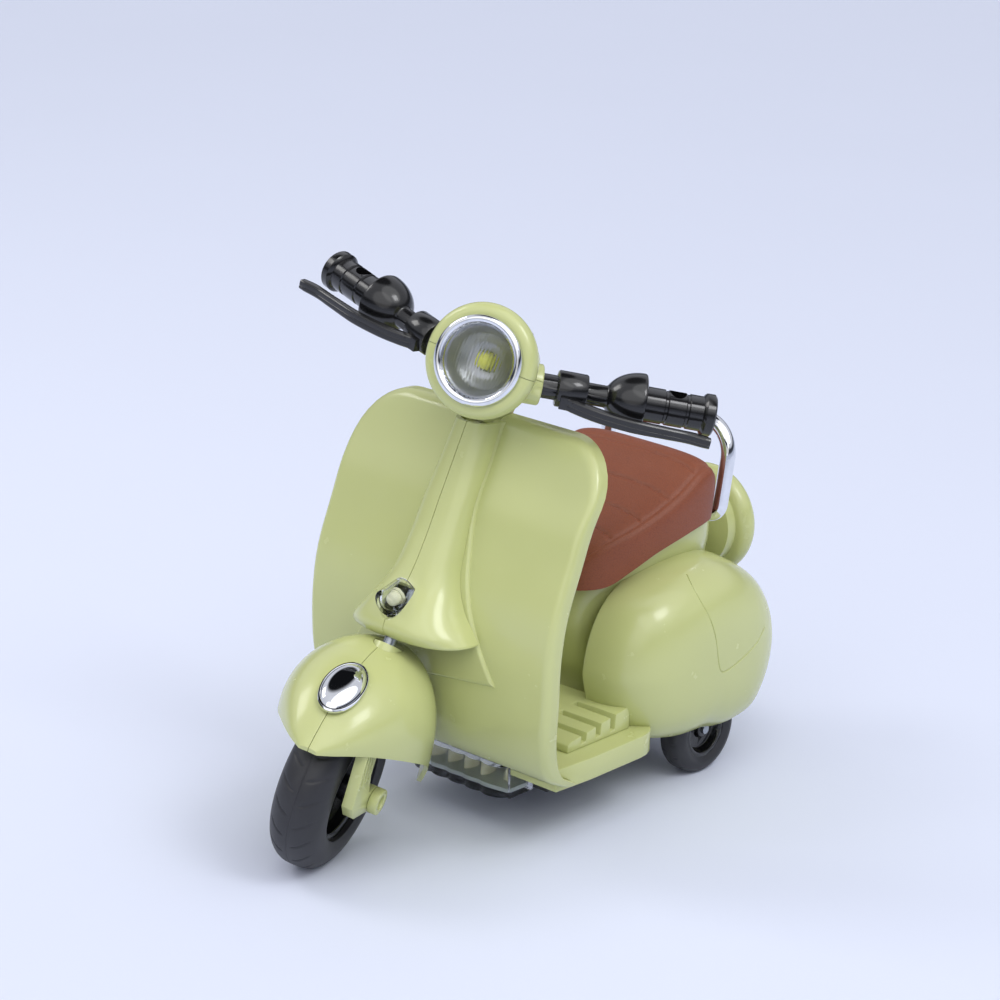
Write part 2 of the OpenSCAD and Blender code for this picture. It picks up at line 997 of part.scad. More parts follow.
// Side view of a fork leg: down from the crown in front of the axle, then back along the link
module fork_side() {
    polygon([[118, 53], [119, 49.5], [134, 54], [142, 50], [143.6, 38], [141.6, 30.6],
        [136, 30.6], [132.6, 28.5], [132.6, 24], [135, 22], [150, 25.5], [153, 30],
        [150.8, 49.2], [147, 54.2], [140, 57.6], [133, 58.4], [127, 57.6]]);
}

// Boss outside the fork's leg, with a round socket, and the cap on the axle's free end
module fork_caps() {
    color(olive)
        steered()
            difference() {
                union() {
                    rod_y(front_axle_x, front_axle_z, 4.2, front_plane_y + leg_out + 0.05,
                        front_plane_y + leg_out + 3);
                    rod_y(front_axle_x, front_axle_z, 3.4, front_plane_y - 12.4, front_plane_y - 9.2);
                }
                rod_y(front_axle_x, front_axle_z, 2.2, front_plane_y + leg_out + 1.2, 30);
                rod_y(front_axle_x, front_axle_z, 1.5, front_plane_y - 11.2, front_plane_y);
            }
}

module front_axle() {
    color(steel)
        steered()
            rod_y(front_axle_x, front_axle_z, 1.5, front_plane_y - 11.2, front_plane_y + leg_out);
}

// Mudguard: crown height, half width and rim height against x
guard_top = [[103, 57.5], [108, 63.4], [114, 66.4], [122, 67.8], [132, 67.2], [142, 64.6], [149, 61.4], [155, 57.4],
    [160, 53.2], [163, 50.2]];
guard_wide = [[103, 16], [108, 19], [116, 22.6], [126, 23.8], [136, 22], [145, 18.4], [153, 13.4], [159, 8.3],
    [163, 3]];
guard_rim = [[103, 26], [105.5, 19.5], [109, 22], [114, 29], [122, 35.4], [136, 42.6], [148, 47.2], [157, 49],
    [163, 48.8]];
guard_levels = [107.8, 108.8, 110.5, 114, 118, 124, 130, 136, 142, 147, 151, 154.5, 157.5, 160, 162, 163];
guard_wall = 1.5;

// Half ring of the mudguard's wall at x: over the outside from crown to rim and back inside
function guard_ring(x) =
    let (
        top = smooth(guard_top, x),
        w = smooth(guard_wide, x),
        rim = smooth(guard_rim, x),
        t = min(guard_wall, w * 0.45)
    )
    concat(
        [for (a = [0:15:90]) [x, w * spow(sin(a), 0.85), rim + (top - rim) * spow(cos(a), 0.75)]],
        [for (a = [90:-15:0]) [x, (w - t) * spow(sin(a), 0.85),
            rim + (top - t - rim) * spow(cos(a), 0.75)]]);

module guard_half() {
    difference() {
        skin([for (x = guard_levels) guard_ring(x)]);
        translate([0, -front_plane_y, 0])
            on_axis(-60)
                cylinder(r = 4.7, h = 50);
    }
}

module mudguard_left() {
    color(olive)
        steered()
            difference() {
                translate([0, front_plane_y, 0])
                    guard_half();
                on_axis(-60)
                    cylinder(r = 4.7, h = 50);
                badge_place()
                    translate([0, 0, -4])
                        cylinder(r = 1.2, h = 4);
            }
}

module mudguard_right() {
    color(olive)
        steered()
            difference() {
                translate([0, front_plane_y, 0])
                    mirror([0, 1, 0])
                        guard_half();
                on_axis(-60)
                    cylinder(r = 4.7, h = 50);
                badge_place()
                    translate([0, 0, -4])
                        cylinder(r = 1.2, h = 4);
            }
}

// Oval chrome badge on the crown of the mudguard
module badge_place() {
    translate([145.6, front_plane_y, 63.2])
        rotate([0, 22, 0])
            children();
}

module mudguard_badge() {
    color(metal)
        steered()
            badge_place() {
                intersection() {
                    translate([0, 0, -29])
                        sphere(r = 31.5, $fn = 96);
                    linear_extrude(6)
                        polygon([for (a = [0:10:350]) [10.4 * cos(a), 6.6 * sin(a)]]);
                }
                translate([0, 0, -4])
                    cylinder(r = 1, h = 5);
            }
}

// ---------- headset and lamp ----------

// Outline of the headset's half section: radius against distance behind the lamp's rim
bowl_curve = [[0, 15.4], [0.8, 16.5], [3.2, 17.3], [5.6, 16.8], [9, 14.9], [14, 13.4], [20, 12], [28, 10.2],
    [36, 8.4], [41, 6], [44, 0]];
bowl_length = 44;
function bowl_r(d) = smooth(bowl_curve, d);

module bowl_place() {
    translate([lamp_x, 0, lamp_z])
        rotate([0, -90 - lamp_pitch, 0])
            children();
}

module bowl(inset) {
    steps = [for (i = [0:16]) (bowl_length - 0.2) * i / 16];
    bowl_place()
        rotate_extrude()
            polygon(concat([[0, 0]], [for (d = steps) [max(0, bowl_r(d) - inset), d]],
                [[0, bowl_length - inset]]));
}

module bowl_cavity() {
    bowl_place()
        rotate_extrude()
            polygon(concat([[0, -1]], [[12.7, -1], [12.7, 9.5]],
                [for (d = [11:2:27]) [max(0, bowl_r(d) - 2.2), d]], [[0, 29]]));
}

// Children drawn along +Z run along the left handle, out from the centre plane
module handle_place() {
    translate([bar_x, 0, bar_z])
        rotate([0, 0, sweep])
            rotate([bar_rise - 90, 0, 0])
                children();
}

socket_in = 13.5;
socket_out = 17.5;
tube_r = 3.75;
module headset_solid() {
    difference() {
        union() {
            bowl(0);
            both()
                handle_place()
                    translate([0, 0, 6])
                        cylinder(r = 6.2, h = socket_out - 6);
            on_axis(neck_low)
                cylinder(r = neck_r, h = stem_top - neck_low);
            on_axis(stem_top)
                sphere(r = neck_r);
        }
        bowl_cavity();
        both()
            handle_place()
                cylinder(r = tube_r, h = 30);
        on_axis(30)
            cylinder(r = stem_r, h = stem_top - 30);
    }
}

// Space below the plane that parts the headset's two shells
module below_split() {
    bowl_place()
        translate([-far, -far, -far])
            cube([far, 2 * far, 2 * far]);
}

module headset_lower() {
    color(olive)
        steered()
            intersection() {
                headset_solid();
                below_split();
            }
}

module headset_upper() {
    color(olive)
        steered()
            difference() {
                headset_solid();
                below_split();
                button_place()
                    translate([0, 0, -1.5])
                        cylinder(r = 3, h = 20);
            }
}

// Everything in the lamp is drawn along +Z, out of the lamp's front
module lamp_place() {
    translate([lamp_x, 0, lamp_z])
        rotate([0, 90 - lamp_pitch, 0])
            children();
}

module lamp_bezel() {
    color(metal)
        steered()
            lamp_place()
                rotate_extrude()
                    polygon(concat([[10.6, -1], [12.6, -1], [12.6, 0.1], [13.6, 0.1]],
                        [for (a = [0:15:180]) [12.3 + 1.3 * cos(a), 0.7 + 1.3 * sin(a)]], [[10.6, 0.6]]));
}

module lamp_lens() {
    color(clear)
        steered()
            lamp_place()
                rotate_extrude()
                    polygon(concat([[0, 2]], [[10.5, -0.9]], [[10.5, 0.3]],
                        [for (a = [30:10:90]) [12.1 * cos(a), 0.3 + 3 * (sin(a) - 0.5) / 0.5]]));
}

module lamp_reflector() {
    color(metal)
        steered()
            lamp_place()
                rotate_extrude()
                    polygon([[2.6, -8.4], [5, -8], [8, -5.6], [10.2, -1.3], [12.5, -1.3], [12.5, -2.1], [10.9, -2.1],
                        [8.8, -6.4], [5.2, -9], [2.6, -9.4]]);
}

module lamp_led() {
    color("#e8e060")
        steered()
            lamp_place()
                rotate_extrude()
                    polygon(concat([[0, -10.4], [2.9, -10.4], [2.9, -9.6], [2.4, -9.6], [2.4, -5.6]],
                        [for (a = [15:15:90]) [2.4 * cos(a), -5.6 + 2.4 * sin(a)]]));
}

// Push button on top of the headset, behind the lamp
module button_place() {
    translate([65.6, 0, 152.4])
        rotate([0, -17, 0])
            children();
}

module horn_button() {
    color(black)
        steered()
            button_place()
                rotate_extrude()
                    polygon([[0, 0], [2.9, 0], [2.9, 3.4], [2.5, 3.9], [0, 4.1]]);
}

// One handle, left side: tube, collar, disc with its dome, grip and end flange, in one moulding
module handle() {
    handle_place()
        difference() {
            rotate_extrude()
                polygon(concat(
                    [[0, socket_in], [3.72, socket_in], [3.72, 22], [5.2, 22.3], [5.5, 22.7], [5.5, 30.8],
                        [5.2, 31.2], [3.3, 31.4], [3.3, 37]],
                    [for (a = [66:-12:6]) [8.9 * cos(a), 48 - 11.5 * sin(a)]],
                    [[8.9, 48], [8.4, 48.6], [5.3, 48.6], [5.3, 54.6], [5, 54.9], [5, 55.6], [5.3, 55.9], [5.3, 61.1], [5, 61.4],
                        [5, 62.1], [5.3, 62.4], [5.3, 66.4], [5.9, 66.8], [6.4, 67.4],
                        [6.4, handle_length - 0.5], [5.9, handle_length], [0, handle_length]]));
            // Round socket in the top of the grip
            translate([0, -12, 58.4])
                rotate([-90, 0, 0])
                    cylinder(r = 2.5, h = 11.5);
        }
}

module handle_left() {
    color(black)
        steered()
            handle();
}

module handle_right() {
    color(black)
        steered()
            mirror([0, 1, 0])
                handle();
}

// Brake lever, left side: a thin blade that curves out from the collar in front of the grip.
// Its line is the distance in front of the handle's axis against the distance along it.
lever_line = [[24, 4.6], [29, 7.4], [36, 10.4], [45, 12.4], [55, 12.9], [63, 13.1], [68.6, 14.4]];
lever_width = [[24, 1.3], [30, 1.7], [40, 1.4], [60, 1.2], [66, 1.5], [68.6, 1.1]];
module lever() {
    steps = [for (i = [0:20]) 24 + 44.6 * i / 20];
    // Laid in the handle's plane: X along the handle, Y to the front
    translate([bar_x, 0, bar_z])
        rotate([0, 0, sweep])
            difference() {
                union() {
                    translate([0, 0, -3])
                        linear_extrude(3.8)
                            polygon(concat(
                                [for (d = steps) [smooth(lever_line, d) - smooth(lever_width, d), d]],
                                [for (i = [20:-1:0])
                                    [smooth(lever_line, steps[i]) + smooth(lever_width, steps[i]), steps[i]]]));
                    block([3, 23.4, -3], [6.8, 28, 0.8]);
                }
                rotate([bar_rise - 90, 0, 0])
                    cylinder(r = 5.55, h = 34);
            }
}

module lever_left() {
    color(black)
        steered()
            lever();
}

module lever_right() {
    color(black)
        steered()
            mirror([0, 1, 0])
                lever();
}

// ---------- front wheel ----------

module front_wheel_place() {
    steered()
        translate([front_axle_x, front_plane_y, front_axle_z])
            rotate([-90, 0, 0])
                children();
}

module front_hub() {
    color(black)
        front_wheel_place()
            rotate_extrude()
                polygon([[1.5 + running_gap, -9], [4, -9], [4, -2], [15, -2], [15, -5.5], [17, -6.5], [17, 6.5],
                    [15, 5.5], [15, 2], [4, 2], [4, 9], [1.5 + running_gap, 9]]);
}

module front_tyre() {
    color(dark)
        front_wheel_place()
            rotate_extrude()
                polygon(tyre_profile(front_wheel_r, front_tyre_w / 2, 17, 7.5));
}

floor_pan();
footboard();
leg_shield();
shield_panel();
shield_plate();
column_left();
column_right();
head_bearings();
horn_lamp_tube();
horn_lamp_led();
body_left();
body_right();
cowl_left();
cowl_right();
seat();
rack_loop();
spare_cover();
spare_bolt();
lamp_tray();
tray_board();
tray_leds();
battery_box();
battery_door();
batteries();
battery_contacts();
circuit_board();
speaker();
switch_case();
switch_slider();
motor_case_left();
motor_case_right();
mainspring();
spring_gear();
middle_gear();
axle_gear();
rear_axle();
rear_hubs();
rear_tyres();
case_screws();
stem();
fork();
fork_caps();
front_axle();
mudguard_left();
mudguard_right();
mudguard_badge();
headset_lower();
headset_upper();
lamp_bezel();
lamp_lens();
lamp_reflector();
lamp_led();
horn_button();
handle_left();
handle_right();
lever_left();
lever_right();
front_hub();
front_tyre();
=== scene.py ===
"""Toy motor scooter: detailed meshes, materials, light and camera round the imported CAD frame."""

import json
import math

import bmesh
import bpy
import numpy as np
from mathutils import Matrix, Vector

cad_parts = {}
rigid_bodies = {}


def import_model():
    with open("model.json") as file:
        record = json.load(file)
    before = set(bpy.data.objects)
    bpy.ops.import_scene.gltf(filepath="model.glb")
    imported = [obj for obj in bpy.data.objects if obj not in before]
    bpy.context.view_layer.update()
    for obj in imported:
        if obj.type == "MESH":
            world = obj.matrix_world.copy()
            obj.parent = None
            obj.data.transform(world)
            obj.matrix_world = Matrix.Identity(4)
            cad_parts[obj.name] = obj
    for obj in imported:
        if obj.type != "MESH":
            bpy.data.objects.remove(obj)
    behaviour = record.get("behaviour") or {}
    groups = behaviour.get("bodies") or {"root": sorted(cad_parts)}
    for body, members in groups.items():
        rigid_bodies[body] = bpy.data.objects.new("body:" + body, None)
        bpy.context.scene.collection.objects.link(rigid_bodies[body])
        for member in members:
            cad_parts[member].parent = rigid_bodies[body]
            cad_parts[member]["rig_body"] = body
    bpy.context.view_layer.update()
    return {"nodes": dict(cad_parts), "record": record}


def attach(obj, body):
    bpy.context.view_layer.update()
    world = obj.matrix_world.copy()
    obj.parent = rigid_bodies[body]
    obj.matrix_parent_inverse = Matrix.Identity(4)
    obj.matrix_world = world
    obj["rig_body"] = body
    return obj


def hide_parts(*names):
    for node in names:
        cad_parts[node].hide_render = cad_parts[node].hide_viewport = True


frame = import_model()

NODES = frame["nodes"]
MM = 0.001
SCENE = bpy.context.scene
SCENE.view_settings.view_transform = "Standard"

# ---------- places, in the frame's axes and in millimetres ----------


def shift(x, y, z):
    return np.array(Matrix.Translation((x, y, z)))


def turned(degrees, axis):
    return np.array(Matrix.Rotation(math.radians(degrees), 4, axis))


RAKE = 34.5
TURN = 24.0
SWEEP = 24.7
BAR_RISE = 1.7
LAMP_PITCH = 18.0
PIVOT = (103.0, 0.0, 90.0)
BAR_AT = (94.7, 0.0, 150.6)
LAMP_AT = (102.1, 0.0, 157.5)
FRONT_AXLE = (136.8, -1.5, 26.25)
BADGE_AT = (145.6, -1.5, 63.2)
HORN_AT = (114.7, 0.0, 82.2)
MIRROR = np.diag([1.0, -1.0, 1.0, 1.0])
ON_AXIS = shift(*PIVOT) @ turned(-RAKE, "Y")
STEERED = ON_AXIS @ turned(TURN, "Z") @ turned(RAKE, "Y") @ shift(*[-v for v in PIVOT])
LAMP = STEERED @ shift(*LAMP_AT) @ turned(90 - LAMP_PITCH, "Y")
BOWL = shift(*LAMP_AT) @ turned(-90 - LAMP_PITCH, "Y")
HANDLE = shift(*BAR_AT) @ turned(SWEEP, "Z") @ turned(BAR_RISE - 90, "X")
FRONT_WHEEL = STEERED @ shift(*FRONT_AXLE) @ turned(-90, "X")
HORN = shift(*HORN_AT) @ turned(105, "Y")


def placed(points, place):
    points = np.asarray(points, float)
    return points @ place[:3, :3].T + place[:3, 3]


# ---------- curves and grids ----------


def smooth(table, t):
    """Smooth curve through a table of (position, value) rows, as in the CAD source."""
    rows = np.array(table, float)
    last = len(rows) - 1
    t = np.clip(np.asarray(t, float), rows[0, 0], rows[last, 0])
    slopes = np.array(
        [
            (rows[min(i + 1, last), 1] - rows[max(i - 1, 0), 1])
            / (rows[min(i + 1, last), 0] - rows[max(i - 1, 0), 0])
            for i in range(last + 1)
        ]
    )
    i = np.clip(np.searchsorted(rows[:, 0], t, side="right") - 1, 0, last - 1)
    h = rows[i + 1, 0] - rows[i, 0]
    s = (t - rows[i, 0]) / h
    return (
        rows[i, 1] * (1 + 2 * s) * (1 - s) ** 2
        + slopes[i] * h * s * (1 - s) ** 2
        + rows[i + 1, 1] * s**2 * (3 - 2 * s)
        + slopes[i + 1] * h * s**2 * (s - 1)
    )


def spow(v, p):
    return np.sign(v) * np.abs(v) ** p


def grid_faces(rows, cols, start=0, closed=False):
    faces = []
    for i in range(rows - 1):
        for j in range(cols if closed else cols - 1):
            k = (j + 1) % cols
            a, b = start + i * cols, start + (i + 1) * cols
            faces.append((a + j, b + j, b + k, a + k))
    return faces


def rim_of(rows, cols):
    """Indices round the border of a grid, in order."""
    top = [j for j in range(cols)]
    right = [i * cols + cols - 1 for i in range(1, rows)]
    bottom = [(rows - 1) * cols + j for j in range(cols - 2, -1, -1)]
    left = [i * cols for i in range(rows - 2, 0, -1)]
    return top + right + bottom + left


def strip(first, second):
    n = len(first)
    return [
        (first[i], first[(i + 1) % n], second[(i + 1) % n], second[i]) for i in range(n)
    ]


def double_sheet(front, back, rings=()):
    """Closed body between two grids of the same size, joined round the border by rings."""
    rows, cols = front.shape[:2]
    size = rows * cols
    points = [front.reshape(-1, 3), back.reshape(-1, 3)]
    faces = grid_faces(rows, cols) + grid_faces(rows, cols, size)
    border = rim_of(rows, cols)
    last = border
    total = 2 * size
    for ring in rings:
        points.append(ring)
        here = list(range(total, total + len(ring)))
        faces += strip(last, here)
        last = here
        total += len(ring)
    faces += strip(last, [size + i for i in border])
    return np.concatenate(points), faces


def lathe(profile, segments=96):
    """Closed body turned about Z from a closed (radius, height) outline."""
    outline = np.array(profile, float)
    angles = np.linspace(0, 2 * math.pi, segments, endpoint=False)
    points = [
        (r * math.cos(a), r * math.sin(a), z) for a in angles for r, z in outline
    ]
    n = len(outline)
    faces = []
    for i in range(segments):
        k = (i + 1) % segments
        for j in range(n):
            m = (j + 1) % n
            if outline[j][0] < 1e-9 and outline[m][0] < 1e-9:
                continue
            faces.append((i * n + j, k * n + j, k * n + m, i * n + m))
    return np.array(points), faces


def arc(cx, cy, r, start, end, steps):
    """Points of an arc of an outline, angles in degrees."""
    return [
        (cx + r * math.cos(math.radians(a)), cy + r * math.sin(math.radians(a)))
        for a in np.linspace(start, end, steps)
    ]


def rounded(outline, radius, steps=4):
    """Closed outline with each corner rounded by up to that radius."""
    n = len(outline)
    out = []
    for i in range(n):
        p, q, s = (
            np.array(outline[i - 1], float),
            np.array(outline[i], float),
            np.array(outline[(i + 1) % n], float),
        )
        a, b = p - q, s - q
        la, lb = np.linalg.norm(a), np.linalg.norm(b)
        cut = min(radius, la * 0.45, lb * 0.45)
        if q[0] < 1e-6 or cut < 1e-4:
            out.append(tuple(q))
            continue
        first, second = q + a / la * cut, q + b / lb * cut
        for t in np.linspace(0, 1, steps):
            out.append(
                tuple(first * (1 - t) ** 2 + q * 2 * t * (1 - t) + second * t**2)
            )
    return out


# ---------- pieces ----------


SHARP = 38.0


def mesh_object(name, points, faces, angle=SHARP):
    mesh = bpy.data.meshes.new(name)
    mesh.from_pydata(
        (np.asarray(points) * MM).tolist(), [], [tuple(map(int, f)) for f in faces]
    )
    work = bmesh.new()
    work.from_mesh(mesh)
    bmesh.ops.remove_doubles(work, verts=work.verts, dist=1e-6)
    bmesh.ops.dissolve_degenerate(work, edges=work.edges, dist=1e-7)
    bmesh.ops.recalc_face_normals(work, faces=work.faces)
    work.to_mesh(mesh)
    work.free()
    mesh.shade_smooth()
    mesh.set_sharp_from_angle(angle=math.radians(angle))
    obj = bpy.data.objects.new(name, mesh)
    SCENE.collection.objects.link(obj)
    return obj


def baked(obj, angle=SHARP):
    """obj with its modifiers applied."""
    bpy.context.view_layer.update()
    graph = bpy.context.evaluated_depsgraph_get()
    made = bpy.data.meshes.new_from_object(
        obj.evaluated_get(graph), depsgraph=graph, preserve_all_data_layers=False
    )
    old = obj.data
    obj.modifiers.clear()
    obj.data = made
    bpy.data.meshes.remove(old)
    made.shade_smooth()
    made.set_sharp_from_angle(angle=math.radians(angle))
    return obj


def boolean(obj, tools, kind="DIFFERENCE"):
    for tool in tools:
        m = obj.modifiers.new("cut", "BOOLEAN")
        m.object = tool
        m.operation = kind
        m.solver = "EXACT"
        baked(obj)
    for tool in tools:
        mesh = tool.data
        bpy.data.objects.remove(tool)
        bpy.data.meshes.remove(mesh)
    return obj


def cylinder_tool(radius, low, high, place, segments=64):
    points, faces = lathe([(0, low), (radius, low), (radius, high), (0, high)], segments)
    return mesh_object("tool", placed(points, place), faces)


def block_tool(low, high, place=None):
    corners = np.array(
        [
            [(low, high)[i][0], (low, high)[j][1], (low, high)[k][2]]
            for i in (0, 1)
            for j in (0, 1)
            for k in (0, 1)
        ],
        float,
    )
    if place is not None:
        corners = placed(corners, place)
    faces = [
        (0, 1, 3, 2),
        (4, 6, 7, 5),
        (0, 4, 5, 1),
        (2, 3, 7, 6),
        (0, 2, 6, 4),
        (1, 5, 7, 3),
    ]
    return mesh_object("tool", corners, faces)


def bevel(obj, width, segments=2, angle=32.0):
    m = obj.modifiers.new("edges", "BEVEL")
    m.width = width * MM
    m.segments = segments
    m.limit_method = "ANGLE"
    m.angle_limit = math.radians(angle)
    m.harden_normals = False
    return baked(obj)


def move(obj, place):
    """Moves a mesh by a place given in millimetres."""
    obj.data.transform(Matrix.Scale(1 / MM, 4))
    obj.data.transform(Matrix(place.tolist()))
    obj.data.transform(Matrix.Scale(MM, 4))


def dress(obj, body, material, node, stands_in=True):
    """Gives a piece its material and its body, and hides the node it stands for."""
    obj.data.materials.clear()
    obj.data.materials.append(material)
    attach(obj, body)
    if stands_in:
        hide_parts(node)
    return obj


def turned_piece(node, profile, segments, place, body, material):
    """A piece turned from an outline, which stands for a CAD node."""
    points, faces = lathe(profile, segments)
    return dress(mesh_object(node + "_fine", placed(points, place), faces), body, material, node)


def refined(node, material, width=0.0, segments=2, angle=32.0):
    """A welded copy of a CAD node with its sharp edges rounded, in the node's place."""
    source = NODES[node]
    mesh = source.data.copy()
    if mesh.has_custom_normals:
        mesh.attributes.remove(mesh.attributes["custom_normal"])
    work = bmesh.new()
    work.from_mesh(mesh)
    bmesh.ops.remove_doubles(work, verts=work.verts, dist=2e-6)
    bmesh.ops.dissolve_limit(
        work, angle_limit=math.radians(0.5), verts=work.verts, edges=work.edges
    )
    work.to_mesh(mesh)
    work.free()
    mesh.shade_smooth()
    mesh.set_sharp_from_angle(angle=math.radians(SHARP))
    obj = bpy.data.objects.new(node + "_fine", mesh)
    SCENE.collection.objects.link(obj)
    if width:
        bevel(obj, width, segments, angle)
    return dress(obj, source["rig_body"], material, node)


SLOT_OF = {s["node"]: s["material_slot"] for s in frame["record"]["subparts"]}

# ---------- materials ----------


def linear(hex_colour):
    out = []
    for i in (0, 2, 4):
        c = int(hex_colour[i : i + 2], 16) / 255
        out.append(c / 12.92 if c < 0.04045 else ((c + 0.055) / 1.055) ** 2.4)
    return (*out, 1.0)


def new_material(name):
    m = bpy.data.materials.new(name)
    m.use_nodes = True
    return m, m.node_tree, m.node_tree.nodes["Principled BSDF"]


def noise(tree, scale, detail=3.0, rough=0.5):
    coords = tree.nodes.new("ShaderNodeTexCoord")
    n = tree.nodes.new("ShaderNodeTexNoise")
    n.inputs["Scale"].default_value = scale
    n.inputs["Detail"].default_value = detail
    n.inputs["Roughness"].default_value = rough
    tree.links.new(coords.outputs["Object"], n.inputs["Vector"])
    return n


def ramp(tree, source, low, high, start=0.0, end=1.0):
    r = tree.nodes.new("ShaderNodeMapRange")
    r.inputs["From Min"].default_value = start
    r.inputs["From Max"].default_value = end
    r.inputs["To Min"].default_value = low
    r.inputs["To Max"].default_value = high
    tree.links.new(source, r.inputs["Value"])
    return r.outputs["Result"]


def mixed(tree, factor, first, second):
    m = tree.nodes.new("ShaderNodeMix")
    m.data_type = "RGBA"
    tree.links.new(factor, m.inputs["Factor"])
    m.inputs[6].default_value = first
    m.inputs[7].default_value = second
    return m.outputs[2]


def bump(tree, shader, heights, distance=0.00002):
    last = None
    for height, strength in heights:
        b = tree.nodes.new("ShaderNodeBump")
        b.inputs["Strength"].default_value = strength
        b.inputs["Distance"].default_value = distance
        tree.links.new(height, b.inputs["Height"])
        if last is not None:
            tree.links.new(last, b.inputs["Normal"])
        last = b.outputs["Normal"]
    tree.links.new(last, shader.inputs["Normal"])


def plastic(name, light, deep, roughness, coat=0.0, grain=0.12, spread=0.05, soft=0.0):
    """Moulded plastic: slow colour drift, faint flow marks in the gloss, and fine grain."""
    m, tree, shader = new_material(name)
    drift = noise(tree, 22, 2)
    fine = noise(tree, 900, 3, 0.6)
    wide = noise(tree, 140, 4, 0.55)
    colour = mixed(
        tree, ramp(tree, drift.outputs["Fac"], 0, 1, 0.3, 0.7), linear(light), linear(deep)
    )
    tree.links.new(colour, shader.inputs["Base Color"])
    tree.links.new(
        ramp(tree, wide.outputs["Fac"], roughness - spread, roughness + spread, 0.3, 0.7),
        shader.inputs["Roughness"],
    )
    shader.inputs["Coat Weight"].default_value = coat
    shader.inputs["Coat Roughness"].default_value = 0.06
    if soft:
        shader.inputs["Subsurface Weight"].default_value = soft
        shader.inputs["Subsurface Radius"].default_value = (0.002, 0.0018, 0.0008)
        shader.inputs["Subsurface Scale"].default_value = 1.0
    bump(
        tree,
        shader,
        [(wide.outputs["Fac"], grain), (fine.outputs["Fac"], grain * 0.6)],
    )
    return m


def metal(name, colour, roughness, brushed=0.0):
    m, tree, shader = new_material(name)
    base = linear(colour)
    spots = noise(tree, 260, 4, 0.6)
    dull = tuple(c * 0.86 for c in base[:3]) + (1.0,)
    tree.links.new(
        mixed(tree, ramp(tree, spots.outputs["Fac"], 0, 1, 0.35, 0.75), base, dull),
        shader.inputs["Base Color"],
    )
    shader.inputs["Metallic"].default_value = 1.0
    tree.links.new(
        ramp(tree, spots.outputs["Fac"], roughness, roughness + 0.05 + brushed, 0.3, 0.8),
        shader.inputs["Roughness"],
    )
    bump(tree, shader, [(spots.outputs["Fac"], 0.05 + brushed)], 0.00001)
    return m


def clear_plastic(name, tint, roughness=0.04, ior=1.49):
    m, tree, shader = new_material(name)
    shader.inputs["Base Color"].default_value = linear(tint)
    shader.inputs["Transmission Weight"].default_value = 1.0
    shader.inputs["IOR"].default_value = ior
    flow = noise(tree, 160, 3)
    tree.links.new(
        ramp(tree, flow.outputs["Fac"], roughness, roughness + 0.05, 0.3, 0.7),
        shader.inputs["Roughness"],
    )
    bump(tree, shader, [(flow.outputs["Fac"], 0.08)])
    return m


def rubber(name, light, deep):
    m, tree, shader = new_material(name)
    dust = noise(tree, 60, 5, 0.6)
    fine = noise(tree, 1500, 2)
    tree.links.new(
        mixed(tree, ramp(tree, dust.outputs["Fac"], 0, 1, 0.35, 0.7), linear(deep), linear(light)),
        shader.inputs["Base Color"],
    )
    tree.links.new(
        ramp(tree, dust.outputs["Fac"], 0.42, 0.56, 0.3, 0.7), shader.inputs["Roughness"]
    )
    bump(tree, shader, [(dust.outputs["Fac"], 0.1), (fine.outputs["Fac"], 0.2)])
    return m


def leather(name):
    """Brown seat moulding with a fine leather grain: cells of pores, painted shade darkening the creases
    between them, and a slow random drift in tone.
    """
    m, tree, shader = new_material(name)
    coords = tree.nodes.new("ShaderNodeTexCoord")
    cells = tree.nodes.new("ShaderNodeTexVoronoi")
    cells.feature = "DISTANCE_TO_EDGE"
    cells.inputs["Scale"].default_value = 1300
    tree.links.new(coords.outputs["Object"], cells.inputs["Vector"])
    fine = noise(tree, 2200, 3, 0.6)
    drift = noise(tree, 30, 4, 0.6)
    cell_height = ramp(tree, cells.outputs["Distance"], 0, 1, 0.0, 0.12)
    base = mixed(
        tree,
        ramp(tree, drift.outputs["Fac"], 0, 1, 0.3, 0.7),
        linear("8c4a2c"),
        linear("824327"),
    )
    # Painted shade: the creases between the grain cells are mixed up to 35% towards dark brown 62301f.
    top = tree.nodes.new("ShaderNodeMix")
    top.data_type = "RGBA"
    tree.links.new(ramp(tree, cell_height, 0.35, 0.0, 0.0, 1.0), top.inputs["Factor"])
    tree.links.new(base, top.inputs[6])
    top.inputs[7].default_value = linear("62301f")
    tree.links.new(top.outputs[2], shader.inputs["Base Color"])
    tree.links.new(
        ramp(tree, fine.outputs["Fac"], 0.42, 0.6, 0.3, 0.7), shader.inputs["Roughness"]
    )
    shader.inputs["Sheen Weight"].default_value = 0.0
    shader.inputs["Sheen Roughness"].default_value = 0.5
    bump(tree, shader, [(cell_height, 0.55), (fine.outputs["Fac"], 0.3)], 0.00006)
    return m


def glow(name, colour, strength):
    m, tree, shader = new_material(name)
    spots = noise(tree, 700, 2)
    tint = linear(colour)
    tree.links.new(
        mixed(tree, spots.outputs["Fac"], tint, tuple(c * 0.85 for c in tint[:3]) + (1.0,)),
        shader.inputs["Base Color"],
    )
    shader.inputs["Emission Color"].default_value = tint
    shader.inputs["Emission Strength"].default_value = strength
    shader.inputs["Roughness"].default_value = 0.25
    return m


